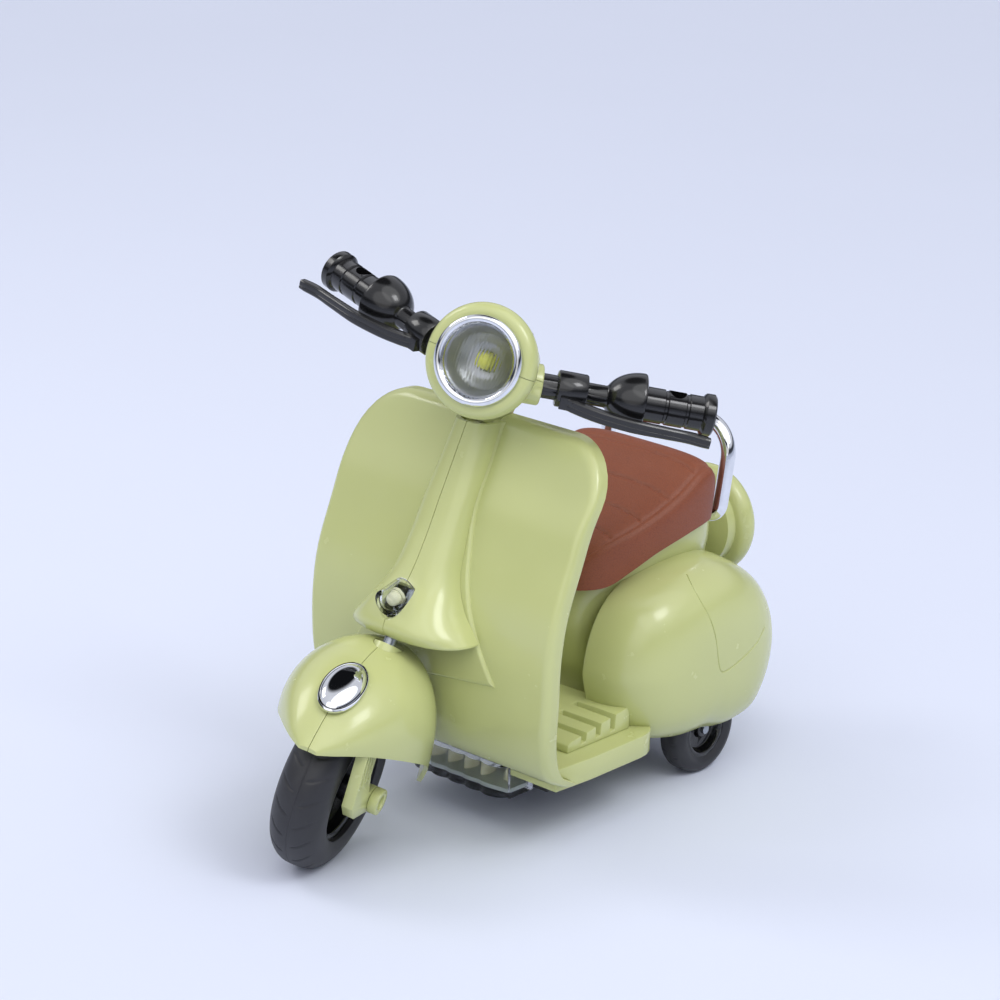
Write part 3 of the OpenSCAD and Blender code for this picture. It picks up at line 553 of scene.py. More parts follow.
OLIVE = plastic("olive_moulding", "c5ca8a", "c0c585", 0.24, 0.25, 0.05, 0.035, 0.06)
BLACK = plastic("black_moulding", "161617", "101011", 0.2, 0.3, 0.06, 0.05)
DARK = plastic("dark_moulding", "2c2c2e", "232325", 0.45, 0.0, 0.15)
WHITE = plastic("gear_moulding", "e4e2d6", "d8d5c6", 0.35, 0.0, 0.1)
TYRE = rubber("tyre", "333336", "262629")
SEAT = leather("seat_grain_and_painted_crease_shade")
CHROME = metal("chrome", "eceef2", 0.03)
STEEL = metal("steel", "a8adb2", 0.22, 0.1)
SILVERED = metal("silvered", "b9bcc0", 0.38, 0.1)
CLEAR = clear_plastic("clear_moulding", "f6f8fa", 0.08, 1.22)
LENS = clear_plastic("lamp_glass", "ffffff", 0.01, 1.3)
LED = glow("led", "cfd25a", 0.1)
WARM_LED = glow("led_unlit", "e8e6c0", 0.05)
BOARD = plastic("board", "c9cfc6", "bfc6bb", 0.4, 0.2, 0.15)
CELL = plastic("cell_sleeve", "6b7480", "5b6470", 0.3, 0.2, 0.1)
BY_SLOT = {
    "olive_gloss": OLIVE,
    "black_gloss": BLACK,
    "steel": STEEL,
    "gear_plastic": WHITE,
}

# ---------- leg shield ----------

SHIELD_CURVE = [
    (23.5, 85), (29.4, 95), (42, 101.3), (60, 102.8), (72, 102.4), (83, 100.4),
    (97.5, 94.9), (108.5, 90.5), (118.7, 84.4), (132, 77.5),
]
SHIELD_LOW, SHIELD_TOP, SHIELD_HALF, SHIELD_CORNER = 23.5, 132.0, 50.0, 18.0
RIM_DEPTH = 6.0


def shield_x(z):
    return smooth(SHIELD_CURVE, z)


def shield_half_at(z, inset):
    base = np.where(z > 60, SHIELD_HALF, SHIELD_HALF - 6 * (np.maximum(60 - z, 0) / 36) ** 2)
    w, r, top = base - inset, SHIELD_CORNER - inset, SHIELD_TOP - inset
    over = np.clip(z - (top - r), 0, r)
    return w - r + np.sqrt(np.maximum(r * r - over**2, 0))


def clustered(total, fine=(0, 0.12, 0.3, 0.55, 0.9, 1.3, 1.8, 2.4, 3.2, 4.4, 6.0)):
    """Places from 0 to 1 across a total width, close together near both ends."""
    ends = [d / total for d in fine]
    middle = np.linspace(ends[-1], 1 - ends[-1], 34)[1:-1]
    return np.array(ends + list(middle) + [1 - e for e in reversed(ends)])


ROWS = clustered(SHIELD_TOP - SHIELD_LOW)
COLS = clustered(2 * SHIELD_HALF) * 2 - 1


def shield_grid(inset, depth):
    """Grid over the shield's front view; depth is how far behind the front face each point lies."""
    z = SHIELD_LOW + inset + (SHIELD_TOP - SHIELD_LOW - 2 * inset) * ROWS
    w = shield_half_at(z, inset)
    y = w[:, None] * COLS[None, :]
    zz = np.repeat(z[:, None], len(COLS), 1)
    d = depth(y, zz) if callable(depth) else np.full_like(zz, depth)
    return np.stack([shield_x(zz) - d, y, zz], -1)


def to_outline(y, z, inset=0.0):
    """Distance in from the shield's outline."""
    w = SHIELD_HALF - inset
    w = np.where(z > 60, w, w - 6 * (np.maximum(60 - z, 0) / 36) ** 2)
    r, top = SHIELD_CORNER - inset, SHIELD_TOP - inset
    ay = np.abs(y)
    corner = (z > top - r) & (ay > w - r)
    d_corner = r - np.hypot(ay - (w - r), z - (top - r))
    d_sides = np.minimum(np.minimum(w - ay, top - z), z - SHIELD_LOW - inset)
    return np.maximum(np.where(corner, d_corner, d_sides), 0)


def fillet(d, r):
    d = np.minimum(d, r)
    return r - np.sqrt(np.maximum(r * r - (r - d) ** 2, 0))


def ring_of(grid):
    rows, cols = grid.shape[:2]
    return grid.reshape(-1, 3)[rim_of(rows, cols)]


front_round = 2.4
shield_front = shield_grid(0, lambda y, z: fillet(to_outline(y, z), front_round))
shield_rings = [
    ring_of(shield_grid(i, d))
    for i, d in (
        (0, 3.2), (0, 4.4), (0, 5.4), (0.3, 5.85), (1.1, 6), (1.95, 5.85),
        (2.3, 5.4), (2.35, 4.4), (2.4, 3.2), (2.5, 2.5), (2.8, 2.1),
    )
]
shield_back = shield_grid(3.3, 2.0)
points, faces = double_sheet(shield_front, shield_back, shield_rings)
shield = mesh_object("leg_shield_fine", points, faces)


def stem_slot():
    return [
        cylinder_tool(3.4, 4, 64, ON_AXIS),
        cylinder_tool(5.9, 44.9, 75, ON_AXIS),
    ]


boolean(shield, stem_slot())
dress(shield, "chassis", OLIVE, "leg_shield")


def panel_back(y, z):
    """Depth of the rider's side of the panel, with the ridge that covers the stem."""
    reach = np.sqrt(np.maximum(5.4**2 - y**2, 0)) / math.cos(math.radians(RAKE))
    lean = math.tan(math.radians(RAKE))
    ridge_x = PIVOT[0] - (z - PIVOT[2]) * lean - reach
    depth = np.where(np.abs(y) < 5.4, shield_x(z) - ridge_x, 0)
    fade = np.clip((z - 101) / 9, 0, 1)
    fade = fade * fade * (3 - 2 * fade)
    top = np.clip((SHIELD_TOP - 6 - z) / 2.5, 0, 1)
    flat = 3.9 - fillet(to_outline(y, z, 2.6), 0.5)
    swell = np.maximum(depth - 3.9, 0) * fade * np.sqrt(top)
    return flat + swell


panel_front = shield_grid(2.6, 2.15)
panel_rear = shield_grid(2.6, panel_back)
points, faces = double_sheet(panel_front, panel_rear)
panel = mesh_object("shield_panel_fine", points, faces)
boolean(panel, stem_slot())
dress(panel, "chassis", OLIVE, "shield_panel")

# Raised plate on the front of the shield: w against z along its side, and a shallow V below
PLATE_SIDE = [
    (57.5, 29.5), (65, 25), (74, 20), (83, 16), (92, 13), (105, 10), (120, 8.5), (131, 8),
]
plate_t = clustered(131 - 54, (0, 0.2, 0.45, 0.8, 1.3, 2.2, 4))
plate_s = clustered(40, (0, 0.25, 0.5, 0.9, 1.4, 2.0, 3)) * 2 - 1


def plate_grid(inset, lift):
    z_side = 57.5 + inset * 1.6 + (131 - 57.5 - inset * 2) * plate_t
    z_mid = 54 + inset + (131 - 54 - inset * 1.4) * plate_t
    w = smooth(PLATE_SIDE, z_side) - inset
    y = w[:, None] * plate_s[None, :]
    z = z_mid[:, None] + (z_side - z_mid)[:, None] * np.abs(plate_s)[None, :]
    return np.stack([shield_x(z) + lift, y, z], -1)


points, faces = double_sheet(
    plate_grid(1.1, 1.2),
    plate_grid(0.0, -0.2),
    [ring_of(plate_grid(inset, lift)) for inset, lift in ((0.75, 1.12), (0.4, 0.85), (0.12, 0.4))],
)
plate = mesh_object("shield_plate_fine", points, faces)
boolean(plate, [cylinder_tool(3.4, -30, 64, ON_AXIS)])
dress(plate, "chassis", OLIVE, "shield_plate")

# ---------- steering column cover ----------

RIDGE_CURVE = [
    (69.5, 119), (73, 121.4), (78, 119), (86.5, 110.8), (97, 104.2), (110, 97.6), (131, 86.8),
]
COVER_CURVE = [(69.5, 23.5), (73, 20.5), (78, 16.2), (86.5, 11.8), (97, 10), (110, 9), (131, 7.6)]
COVER_LOW, COVER_TOP = 69.5, 131.0


def cover_grid(inset, deep, low=COVER_LOW, high=COVER_TOP):
    z = np.array(sorted(set(np.linspace(low, high, 70)) | {low + d for d in (0.1, 0.3, 0.6, 1.0)}))
    a = np.radians(np.linspace(0, 90, 34))
    edge = fillet(z - low, 1.0) * 0.8
    x0 = shield_x(z) + 1.3 - deep
    h = smooth(RIDGE_CURVE, z) - inset - edge - x0
    w = smooth(COVER_CURVE, z) - inset - edge
    x = x0[:, None] + h[:, None] * spow(np.cos(a), 0.8)[None, :]
    y = w[:, None] * spow(np.sin(a), 0.72)[None, :]
    return np.stack([x, y, np.repeat(z[:, None], len(a), 1)], -1)


def column_half(name, side, node):
    outer = cover_grid(0, 0)
    inner = cover_grid(1.2, 0.5)
    # The seam: a fine step back from the centre plane
    outer[:, 0, 1] = 0.12
    inner[:, 0, 1] = 0.12
    points, faces = double_sheet(outer, inner)
    if side < 0:
        points = points * [1, -1, 1]
    obj = mesh_object(name, points, faces)
    boolean(
        obj,
        [
            cylinder_tool(3, -40, 60, ON_AXIS),
            cylinder_tool(5.9, 44.9, 75, ON_AXIS),
            cylinder_tool(4.6, -3.2, 10.8, HORN),
        ],
    )
    return dress(obj, "chassis", OLIVE, node)


column_half("column_left_fine", 1, "column_left")
column_half("column_right_fine", -1, "column_right")

# Horn lamp: clear tube with a ring inside; its diode is left to the CAD node
points, faces = lathe(
    rounded(
        [
            (0, 5.4), (2, 5.2), (3, 4.6), (3.4, 4.2), (3.4, -3), (4.5, -3), (4.5, 5.6), (4.1, 6),
            (3.4, 6), (3, 5.6), (0, 6.4),
        ],
        0.25,
    )
)
horn_tube = mesh_object("horn_lamp_tube_fine", placed(points, HORN), faces)
boolean(horn_tube, [cylinder_tool(2.95, -40, 20, ON_AXIS)])
dress(horn_tube, "chassis", CLEAR, "horn_lamp_tube")

# ---------- rear body ----------

DECK_Z = 28.5
BODY_FRONT = [(DECK_Z, 41), (36, 39), (46, 42.5), (58, 46.5), (70, 44), (80, 32), (88, 20)]
BODY_BACK = [(DECK_Z, -24), (46, -25), (60, -23), (74, -18), (82, -14), (88, -10)]
BODY_WIDE = [(DECK_Z, 19), (46, 17.5), (58, 17.5), (68, 20.5), (78, 24.5), (88, 26.5)]
SEAT_FLOOR = [(-8, 87.6), (4, 86.6), (14, 84.6), (25, 81.2), (34, 76.6), (42, 72.2), (52, 70.8)]
BODY_TOP = 86.0


def body_xy(z, a):
    f, b, w = smooth(BODY_FRONT, z), smooth(BODY_BACK, z), smooth(BODY_WIDE, z)
    x = (f + b) / 2 + (f - b) / 2 * spow(np.cos(a), 0.62)
    return x, w * spow(np.sin(a), 0.7)


def body_top_at(a):
    """Height at which the body's wall meets the underside of the seat."""
    low, high = DECK_Z, BODY_TOP
    for _ in range(40):
        mid = (low + high) / 2
        x, _y = body_xy(np.array([mid]), np.array([a]))
        if mid < float(smooth(SEAT_FLOOR, x)[0]) - 0.05:
            low = mid
        else:
            high = mid
    return low


def body_half(name, side, node):
    angles = np.radians(np.linspace(0.4, 179.6, 91))
    tops = np.array([body_top_at(a) for a in angles])
    t = np.linspace(0, 1, 42)
    grid = np.zeros((len(t), len(angles), 3))
    for j, a in enumerate(angles):
        z = DECK_Z + 0.05 + (tops[j] - DECK_Z - 0.05) * t
        x, y = body_xy(z, np.full_like(z, a))
        grid[:, j] = np.stack([x, np.maximum(y, 0.05) * side, z], -1)
    obj = mesh_object(name, grid.reshape(-1, 3), grid_faces(*grid.shape[:2]))
    work = bmesh.new()
    work.from_mesh(obj.data)
    # Normals point away from the body's middle
    middle = Vector((0.01, 0, 0.055))
    for face in work.faces:
        if (face.calc_center_median() - middle).dot(face.normal) < 0:
            face.normal_flip()
    work.to_mesh(obj.data)
    work.free()
    m = obj.modifiers.new("wall", "SOLIDIFY")
    m.thickness = 1.6 * MM
    m.offset = -1
    baked(obj)
    return dress(obj, "chassis", OLIVE, node)


body_half("body_left_fine", 1, "body_left")
body_half("body_right_fine", -1, "body_right")

# ---------- side cowls ----------

COWL_CENTRE = (8.5, 45.0)
COWL_ROOT, COWL_HALF, COWL_LOW = 20.5, 45.5, 17.0
COWL_CURVE = [
    (0, 41.5), (30, 39.5), (60, 34), (90, 31.4), (125, 32.6), (150, 36), (180, 39),
    (210, 40), (225, 39.5), (240, 35), (270, 28.5), (300, 31.5), (330, 38), (360, 41.5),
]


def cowl_point(u, a, inset):
    """u runs from 0 at the cowl's rim to 1 at its crown, a is the angle round it in degrees."""
    scale = np.cos(np.radians(90 * u)) ** 0.62
    rise = np.sin(np.radians(90 * u)) ** 0.8
    r = (smooth(COWL_CURVE, a) - inset) * scale
    return np.stack(
        [
            COWL_CENTRE[0] + r * np.cos(np.radians(a)),
            COWL_ROOT + (COWL_HALF - COWL_ROOT - inset) * rise,
            COWL_CENTRE[1] + r * np.sin(np.radians(a)),
        ],
        -1,
    )


def cowl_dome(inset, root):
    u = 1 - (1 - np.linspace(0, 0.992, 44)) ** 1.5
    a = np.arange(0, 360, 3.0)
    uu, aa = np.meshgrid(u, a, indexing="ij")
    grid = cowl_point(uu, aa, inset)
    first = grid[:1].copy()
    first[:, :, 1] = root
    grid = np.concatenate([first, grid])
    rows, cols = grid.shape[:2]
    points = np.concatenate([grid.reshape(-1, 3), [[COWL_CENTRE[0], COWL_HALF - inset, COWL_CENTRE[1]]]])
    faces = grid_faces(rows, cols, closed=True)
    crown = rows * cols
    faces += [
        ((rows - 1) * cols + j, crown, (rows - 1) * cols + (j + 1) % cols) for j in range(cols)
    ]
    return points, faces, cols


def groove_tool(path, radius, sides=8):
    """Thin tube along a smoothed path, to cut an engraved line."""
    path = np.array(path, float)
    t = np.linspace(0, len(path) - 1, len(path) * 6)
    i = np.clip(t.astype(int), 0, len(path) - 2)
    f = (t - i)[:, None]
    prev = path[np.maximum(i - 1, 0)]
    nxt = path[np.minimum(i + 2, len(path) - 1)]
    a, b = path[i], path[i + 1]
    line = 2 * a + (b - prev) * f
    line = line + (2 * prev - 5 * a + 4 * b - nxt) * f**2 + (3 * a - prev - 3 * b + nxt) * f**3
    line *= 0.5
    points, count = [], len(line)
    for k in range(count):
        tangent = line[min(k + 1, count - 1)] - line[max(k - 1, 0)]
        tangent /= np.linalg.norm(tangent)
        side = np.cross(tangent, [0.3, 1, 0.2])
        side /= np.linalg.norm(side)
        up = np.cross(side, tangent)
        for s in range(sides):
            angle = 2 * math.pi * s / sides
            points.append(line[k] + radius * (math.cos(angle) * side + math.sin(angle) * up))
    faces = grid_faces(count, sides, closed=True)
    faces += [tuple(range(sides)), tuple(range((count - 1) * sides, count * sides))]
    return mesh_object("tool", points, faces)


# The engraved line on a cowl: an arch in front that turns sharply back towards the tail
COWL_LINE = [
    (17.5, 74), (19.3, 71.2), (19.2, 67), (17.4, 61.8), (15.2, 54), (13.6, 46.5), (11.6, 42.6),
    (7, 42.6), (0, 44.6), (-7.1, 47.4), (-12.5, 51.2),
]


def on_cowl(x, z):
    """Point of the cowl's outer face above a place in the side view."""
    dx, dz = x - COWL_CENTRE[0], z - COWL_CENTRE[1]
    a = math.degrees(math.atan2(dz, dx)) % 360
    scale = math.hypot(dx, dz) / float(smooth(COWL_CURVE, np.array([a]))[0])
    u = math.degrees(math.acos(min(1, scale ** (1 / 0.62)))) / 90
    return cowl_point(np.array([u]), np.array([a]), 0)[0]


def cowl(name, side, node):
    outer, faces, cols = cowl_dome(0, 19.5)
    inner, inner_faces, _ = cowl_dome(1.8, 19.5)
    count = len(outer)
    all_faces = faces + [tuple(count + i for i in f) for f in inner_faces]
    all_faces += strip(list(range(cols)), [count + i for i in range(cols)])
    obj = mesh_object(name, np.concatenate([outer, inner]), all_faces)
    boolean(
        obj,
        [
            block_tool((-60, 10, 0), (60, 60, COWL_LOW)),
            cylinder_tool(17.5, 10, 34.5, shift(0, 0, 15) @ turned(-90, "X"), 96),
            groove_tool([on_cowl(x, z) for x, z in COWL_LINE], 0.28),
        ],
    )
    bevel(obj, 0.35, 2, 50)
    if side < 0:
        obj.data.transform(Matrix.Scale(-1, 4, Vector((0, 1, 0))))
        obj.data.flip_normals()
    return dress(obj, "chassis", OLIVE, node)


cowl("cowl_left_fine", 1, "cowl_left")
cowl("cowl_right_fine", -1, "cowl_right")

# ---------- seat ----------

SEAT_TOP = [
    (-5, 104), (0, 107.2), (6, 106.8), (14, 102), (24, 96.6), (34, 92), (42, 88.4), (48, 82.5), (51, 76),
]
SEAT_WIDE = [(-5, 26), (0, 29), (8, 30), (20, 29), (32, 26), (42, 21.5), (48, 16), (51, 10)]
SEAT_GROOVES = (6.0, 17.5, 28.5, 38.5)


def seat_piece():
    xs = np.array(sorted(set(np.linspace(-5, 51, 150)) | {-4.9, -4.7, -4.4, 50.7, 50.9}))
    angles = np.linspace(0, 180, 121)
    rings = []
    for x in xs:
        end = min(x + 5, 51 - x)
        soft = fillet(np.array([end]), 1.6)[0]
        top = float(smooth(SEAT_TOP, x)) - soft * 0.8
        low = float(smooth(SEAT_FLOOR, x)) + soft * 0.3
        w = float(smooth(SEAT_WIDE, x)) - soft
        mid, h = (top + low) / 2, (top - low) / 2
        c, s = np.cos(np.radians(angles)), np.sin(np.radians(angles))
        y = w * spow(c, 0.42)
        z = mid + h * spow(s, 0.5)
        flat = np.abs(y) / w
        # A crease just inside the top edge, and grooves that cross the top and end at it
        edge = np.exp(-(((flat - 0.9) / 0.022) ** 2)) * (s > 0.35) * 0.45
        over = np.clip((0.89 - flat) / 0.03, 0, 1)
        cross = sum(np.exp(-(((x - g - 1.6 * flat**2) / 0.42) ** 2)) for g in SEAT_GROOVES)
        crown = 0.5 * np.cos(np.minimum(flat, 1) * math.pi / 2)
        z = z - edge - cross * over * 0.6 * (s > 0.35) - (0.5 - crown) * 0.6 * (s > 0.3)
        ring = np.stack([np.full_like(y, x), y, z], -1)
        under = np.stack([np.full(21, x), np.linspace(-w * 0.97, w * 0.97, 21), np.full(21, low)], -1)
        rings.append(np.concatenate([ring, under]))
    grid = np.array(rings)
    rows, cols = grid.shape[:2]
    faces = grid_faces(rows, cols, closed=True)
    faces += [tuple(range(cols)), tuple(range((rows - 1) * cols, rows * cols))]
    return mesh_object("seat_fine", grid.reshape(-1, 3), faces, 50)


seat = seat_piece()
dress(seat, "chassis", SEAT, "seat")

# ---------- chrome loop, spare cover ----------


def tube(name, path, radius, sides=28):
    """Round bar along a path of points, its ends closed."""
    path = np.array(path, float)
    count = len(path)
    points = []
    side = None
    for k in range(count):
        tangent = path[min(k + 1, count - 1)] - path[max(k - 1, 0)]
        tangent /= np.linalg.norm(tangent)
        if side is None:
            side = np.cross(tangent, [1, 0, 0.001])
        side = side - tangent * np.dot(side, tangent)
        side /= np.linalg.norm(side)
        up = np.cross(tangent, side)
        for s in range(sides):
            angle = 2 * math.pi * s / sides
            points.append(path[k] + radius * (math.cos(angle) * side + math.sin(angle) * up))
    faces = grid_faces(count, sides, closed=True)
    faces += [tuple(range(sides)), tuple(range((count - 1) * sides, count * sides))]
    return mesh_object(name, points, faces)


LOOP = shift(-8.6, 0, 84) @ turned(-9, "Y")
LOOP_HALF, LOOP_R, LOOP_BEND, LOOP_HEIGHT = 25.0, 2.5, 11.0, 31.5
half_path = [(0, LOOP_HALF - 6.5, 2.0 - 0.6)]
half_path += [
    (0, LOOP_HALF - 4 + 4 * math.sin(a), 5.4 - 4 * math.cos(a)) for a in np.radians(np.linspace(0, 90, 12))
]
half_path += [(0, LOOP_HALF, z) for z in np.linspace(7, LOOP_HEIGHT - LOOP_BEND, 6)]
half_path += [
    (0, LOOP_HALF - LOOP_BEND + LOOP_BEND * math.cos(a), LOOP_HEIGHT - LOOP_BEND + LOOP_BEND * math.sin(a))
    for a in np.radians(np.linspace(5, 90, 18))
]
whole = half_path + [(x, -y, z) for x, y, z in reversed(half_path)]
loop = tube("rack_loop_fine", placed(whole, LOOP), LOOP_R)
dress(loop, "chassis", CHROME, "rack_loop")

SPARE = shift(-40, 0, 72.5) @ turned(90, "Y")
profile = [(0, 2.5), (6, 2.5), (7, 0.4), (13, 0)]
profile += arc(15, 4, 4, -80, 90, 16) + [(15, 12), (6, 12), (5, 19.5), (0, 19.5)]
turned_piece("spare_cover", rounded(profile, 0.4, 3), 128, SPARE, "chassis", OLIVE)
refined("spare_bolt", CHROME, 0.2)

# ---------- mudguard ----------

GUARD_TOP = [
    (103, 57.5), (108, 63.4), (114, 66.4), (122, 67.8), (132, 67.2), (142, 64.6), (149, 61.4),
    (155, 57.4), (160, 53.2), (163, 50.2),
]
GUARD_WIDE = [
    (103, 16), (108, 19), (116, 22.6), (126, 23.8), (136, 22), (145, 18.4), (153, 13.4),
    (159, 8.3), (163, 3),
]
GUARD_RIM = [
    (103, 26), (105.5, 19.5), (109, 22), (114, 29), (122, 35.4), (136, 42.6), (148, 47.2),
    (157, 49), (163, 48.8),
]
PLANE_Y = -1.5


def guard_grid(inset):
    x = np.concatenate([np.linspace(107.8, 160, 62), [160.8, 161.4, 161.9, 162.3, 162.6, 162.85, 163]])
    a = np.radians(np.linspace(0, 90, 40))
    top, w, rim = smooth(GUARD_TOP, x), smooth(GUARD_WIDE, x), smooth(GUARD_RIM, x)
    t = np.minimum(inset, w * 0.45)
    y = (w - t)[:, None] * spow(np.sin(a), 0.85)[None, :]
    z = rim[:, None] + (top - t - rim)[:, None] * spow(np.cos(a), 0.75)[None, :]
    return np.stack([np.repeat(x[:, None], len(a), 1), y, z], -1)


def mudguard(name, side, node):
    outer, inner = guard_grid(0), guard_grid(1.5)
    outer[:, 0, 1] = 0.1
    inner[:, 0, 1] = 0.1
    points, faces = double_sheet(outer, inner)
    points = points * [1, side, 1] + [0, PLANE_Y, 0]
    obj = mesh_object(name, points, faces)
    boolean(obj, [cylinder_tool(4.7, -60, -10, ON_AXIS)])
    bevel(obj, 0.45, 3, 50)
    move(obj, STEERED)
    return dress(obj, "steering", OLIVE, node)


mudguard("mudguard_left_fine", 1, "mudguard_left")
mudguard("mudguard_right_fine", -1, "mudguard_right")


def badge():
    """Oval dome with a flat lip round it."""
    radii = [0.0] + list(np.linspace(0.08, 0.86, 14)) + [0.9, 0.93, 0.97, 1.0, 1.0]
    angles = np.linspace(0, 2 * math.pi, 72, endpoint=False)
    points = []
    for k, q in enumerate(radii):
        if k == len(radii) - 1:
            height = -0.3
        elif q <= 0.86:
            height = 0.75 + 1.75 * math.sqrt(1 - (q / 0.875) ** 2)
        else:
            height = {0.9: 0.72, 0.93: 0.78, 0.97: 0.72}.get(q, 0.4)
        points += [(10.4 * q * math.cos(a), 6.6 * q * math.sin(a), height) for a in angles]
    faces = grid_faces(len(radii), 72, closed=True)
    faces.append(tuple(range((len(radii) - 1) * 72, len(radii) * 72)))
    place = STEERED @ shift(*BADGE_AT) @ turned(22, "Y")
    return mesh_object("mudguard_badge_fine", placed(points, place), faces)


dress(badge(), "steering", CHROME, "mudguard_badge")

# ---------- headset and lamp ----------

BOWL_CURVE = [
    (0, 15.4), (0.8, 16.5), (3.2, 17.3), (5.6, 16.8), (9, 14.9), (14, 13.4), (20, 12), (28, 10.2),
    (36, 8.4), (41, 6), (44, 0),
]
NECK_R, NECK_LOW, STEM_TOP = 5.4, 45.5, 68.0


def bowl_r(d):
    return smooth(BOWL_CURVE, d)


def headset_solid():
    d = np.concatenate([np.linspace(0, 8, 26), np.linspace(8.4, 40, 50), np.linspace(40.3, 43.9, 14)])
    outer = [(float(bowl_r(x)), float(x)) for x in d]
    lip = [(12.7, 0.4), (13.1, 0.05), (14.4, -0.05)]
    cavity = [(0, 29), (float(bowl_r(27)) - 2.2, 27)]
    cavity += [(float(bowl_r(x)) - 2.2, x) for x in np.linspace(26, 11, 12)] + [(12.7, 9.5)]
    profile = lip + outer + [(0, 44)] + cavity
    points, faces = lathe(profile, 144)
    solid = mesh_object("headset", placed(points, BOWL), faces)
    joins = []
    for side in (np.eye(4), MIRROR):
        points, faces = lathe([(0, 9), (6.2, 9), (6.2, 17.1), (5.8, 17.5), (0, 17.5)], 72)
        joins.append(mesh_object("tool", placed(points, side @ HANDLE), faces))
    neck = [(0, NECK_LOW), (NECK_R, NECK_LOW)]
    neck += arc(0, STEM_TOP, NECK_R, 0, 88, 12) + [(0, STEM_TOP + NECK_R)]
    points, faces = lathe(neck, 72)
    joins.append(mesh_object("tool", placed(points, ON_AXIS), faces))
    boolean(solid, joins, "UNION")
    cavity_points, cavity_faces = lathe(
        [(0, -1), (12.6, -1), (12.6, 9.4)]
        + [(float(bowl_r(x)) - 2.3, x) for x in np.linspace(11, 26, 10)]
        + [(0, 28.9)],
        96,
    )
    bores = [mesh_object("tool", placed(cavity_points, BOWL), cavity_faces)]
    bores += [cylinder_tool(3.75, 5, 30, side @ HANDLE) for side in (np.eye(4), MIRROR)]
    bores.append(cylinder_tool(2, 30, STEM_TOP, ON_AXIS))
    bores.append(cylinder_tool(3, -1.5, 18, shift(65.6, 0, 152.4) @ turned(-17, "Y")))
    return boolean(solid, bores)


def headset_shell(source, name, upper, node):
    obj = source.copy()
    obj.data = source.data.copy()
    obj.name = name
    SCENE.collection.objects.link(obj)
    # The parting plane holds the lamp's axis; X of the bowl's own axes points up
    low, high = (-400, 0.08) if upper else (-0.08, 400)
    tool = block_tool((low, -400, -400), (high, 400, 400), BOWL)
    boolean(obj, [tool])
    bevel(obj, 0.22, 2, 40)
    move(obj, STEERED)
    return dress(obj, "steering", OLIVE, node)


whole_headset = headset_solid()
headset_shell(whole_headset, "headset_upper_fine", True, "headset_upper")
headset_shell(whole_headset, "headset_lower_fine", False, "headset_lower")
bpy.data.objects.remove(whole_headset)

bezel_profile = [(10.6, -1), (12.6, -1), (12.6, 0.1), (13.6, 0.1)]
bezel_profile += arc(12.3, 0.7, 1.3, 0, 150, 18) + [(10.9, 0.9), (10.6, 0.4)]
turned_piece("lamp_bezel", bezel_profile, 144, LAMP, "steering", CHROME)


def lens():
    """Clear dome with upright ribs moulded inside it."""
    rings, sides = 60, 160
    points, faces = [], []
    for face in (0, 1):
        for i in range(rings):
            q = i / (rings - 1)
            for j in range(sides):
                angle = 2 * math.pi * j / sides
                r = 10.5 * q
                x, y = r * math.cos(angle), r * math.sin(angle)
                if face == 0:
                    z = 0.3 + 3.0 * (1 - q**2.2)
                else:
                    rib = 0.2 * abs(math.sin(math.pi * y / 1.1))
                    z = 1.7 * (1 - q**2) - 0.75 + rib * min(1, (1 - q) * 9)
                points.append((x, y, z))
    count = rings * sides
    faces += grid_faces(rings, sides, closed=True) + grid_faces(rings, sides, count, True)
    last = (rings - 1) * sides
    faces += strip([last + j for j in range(sides)], [count + last + j for j in range(sides)])
    return mesh_object("lamp_lens_fine", placed(points, LAMP), faces, 50)


dress(lens(), "steering", LENS, "lamp_lens")
reflector = [
    (2.6, -8.4), (5, -8), (8, -5.6), (10.2, -1.3), (12.5, -1.3), (12.5, -2.1), (10.9, -2.1),
    (8.8, -6.4), (5.2, -9), (2.6, -9.4),
]
turned_piece("lamp_reflector", rounded(reflector, 0.8, 5), 120, LAMP, "steering", SILVERED)
led = [(0, -10.4), (2.9, -10.4), (2.9, -9.6), (2.4, -9.6)] + arc(0, -5.6, 2.4, 0, 90, 12)
turned_piece("lamp_led", led, 48, LAMP, "steering", LED)
refined("horn_button", BLACK, 0.3, 3)

# ---------- handles and levers ----------

HANDLE_END = 70.2


def handle(name, place, node):
    profile = [
        (0, 13.5), (3.72, 13.5), (3.72, 22), (5.2, 22.3), (5.5, 22.7), (5.5, 30.8), (5.2, 31.2),
        (3.3, 31.4), (3.3, 37),
    ]
    dome = np.radians(np.linspace(67, 3, 26))
    profile += [(8.9 * math.cos(a), 48 - 11.5 * math.sin(a)) for a in dome]
    profile += [
        (8.9, 47.9), (8.75, 48.3), (8.4, 48.5), (5.3, 48.6), (5.3, 54.6), (4.95, 54.9),
        (4.95, 55.6), (5.3, 55.9), (5.3, 61.1), (4.95, 61.4), (4.95, 62.1), (5.3, 62.4),
        (5.3, 66.4), (5.9, 66.8), (6.4, 67.4), (6.4, 69.7), (5.9, HANDLE_END), (3.6, HANDLE_END),
        (3.3, 69.6), (0, 69.6),
    ]
    points, faces = lathe(profile, 96)
    obj = mesh_object(name, placed(points, HANDLE), faces)
    notch = cylinder_tool(2.5, 0, 11.5, HANDLE @ shift(0, -12, 58.4) @ turned(-90, "X"), 48)
    # Moulding line along the front of the grip
    seam = groove_tool(placed([(-5.32, 0, z) for z in np.linspace(49, 66.4, 8)], HANDLE), 0.12)
    boolean(obj, [notch, seam])
    bevel(obj, 0.18, 2, 40)
    move(obj, STEERED @ place)
    if place is MIRROR:
        obj.data.flip_normals()
    return dress(obj, "steering", BLACK, node)


handle("handle_left_fine", np.eye(4), "handle_left")
handle("handle_right_fine", MIRROR, "handle_right")

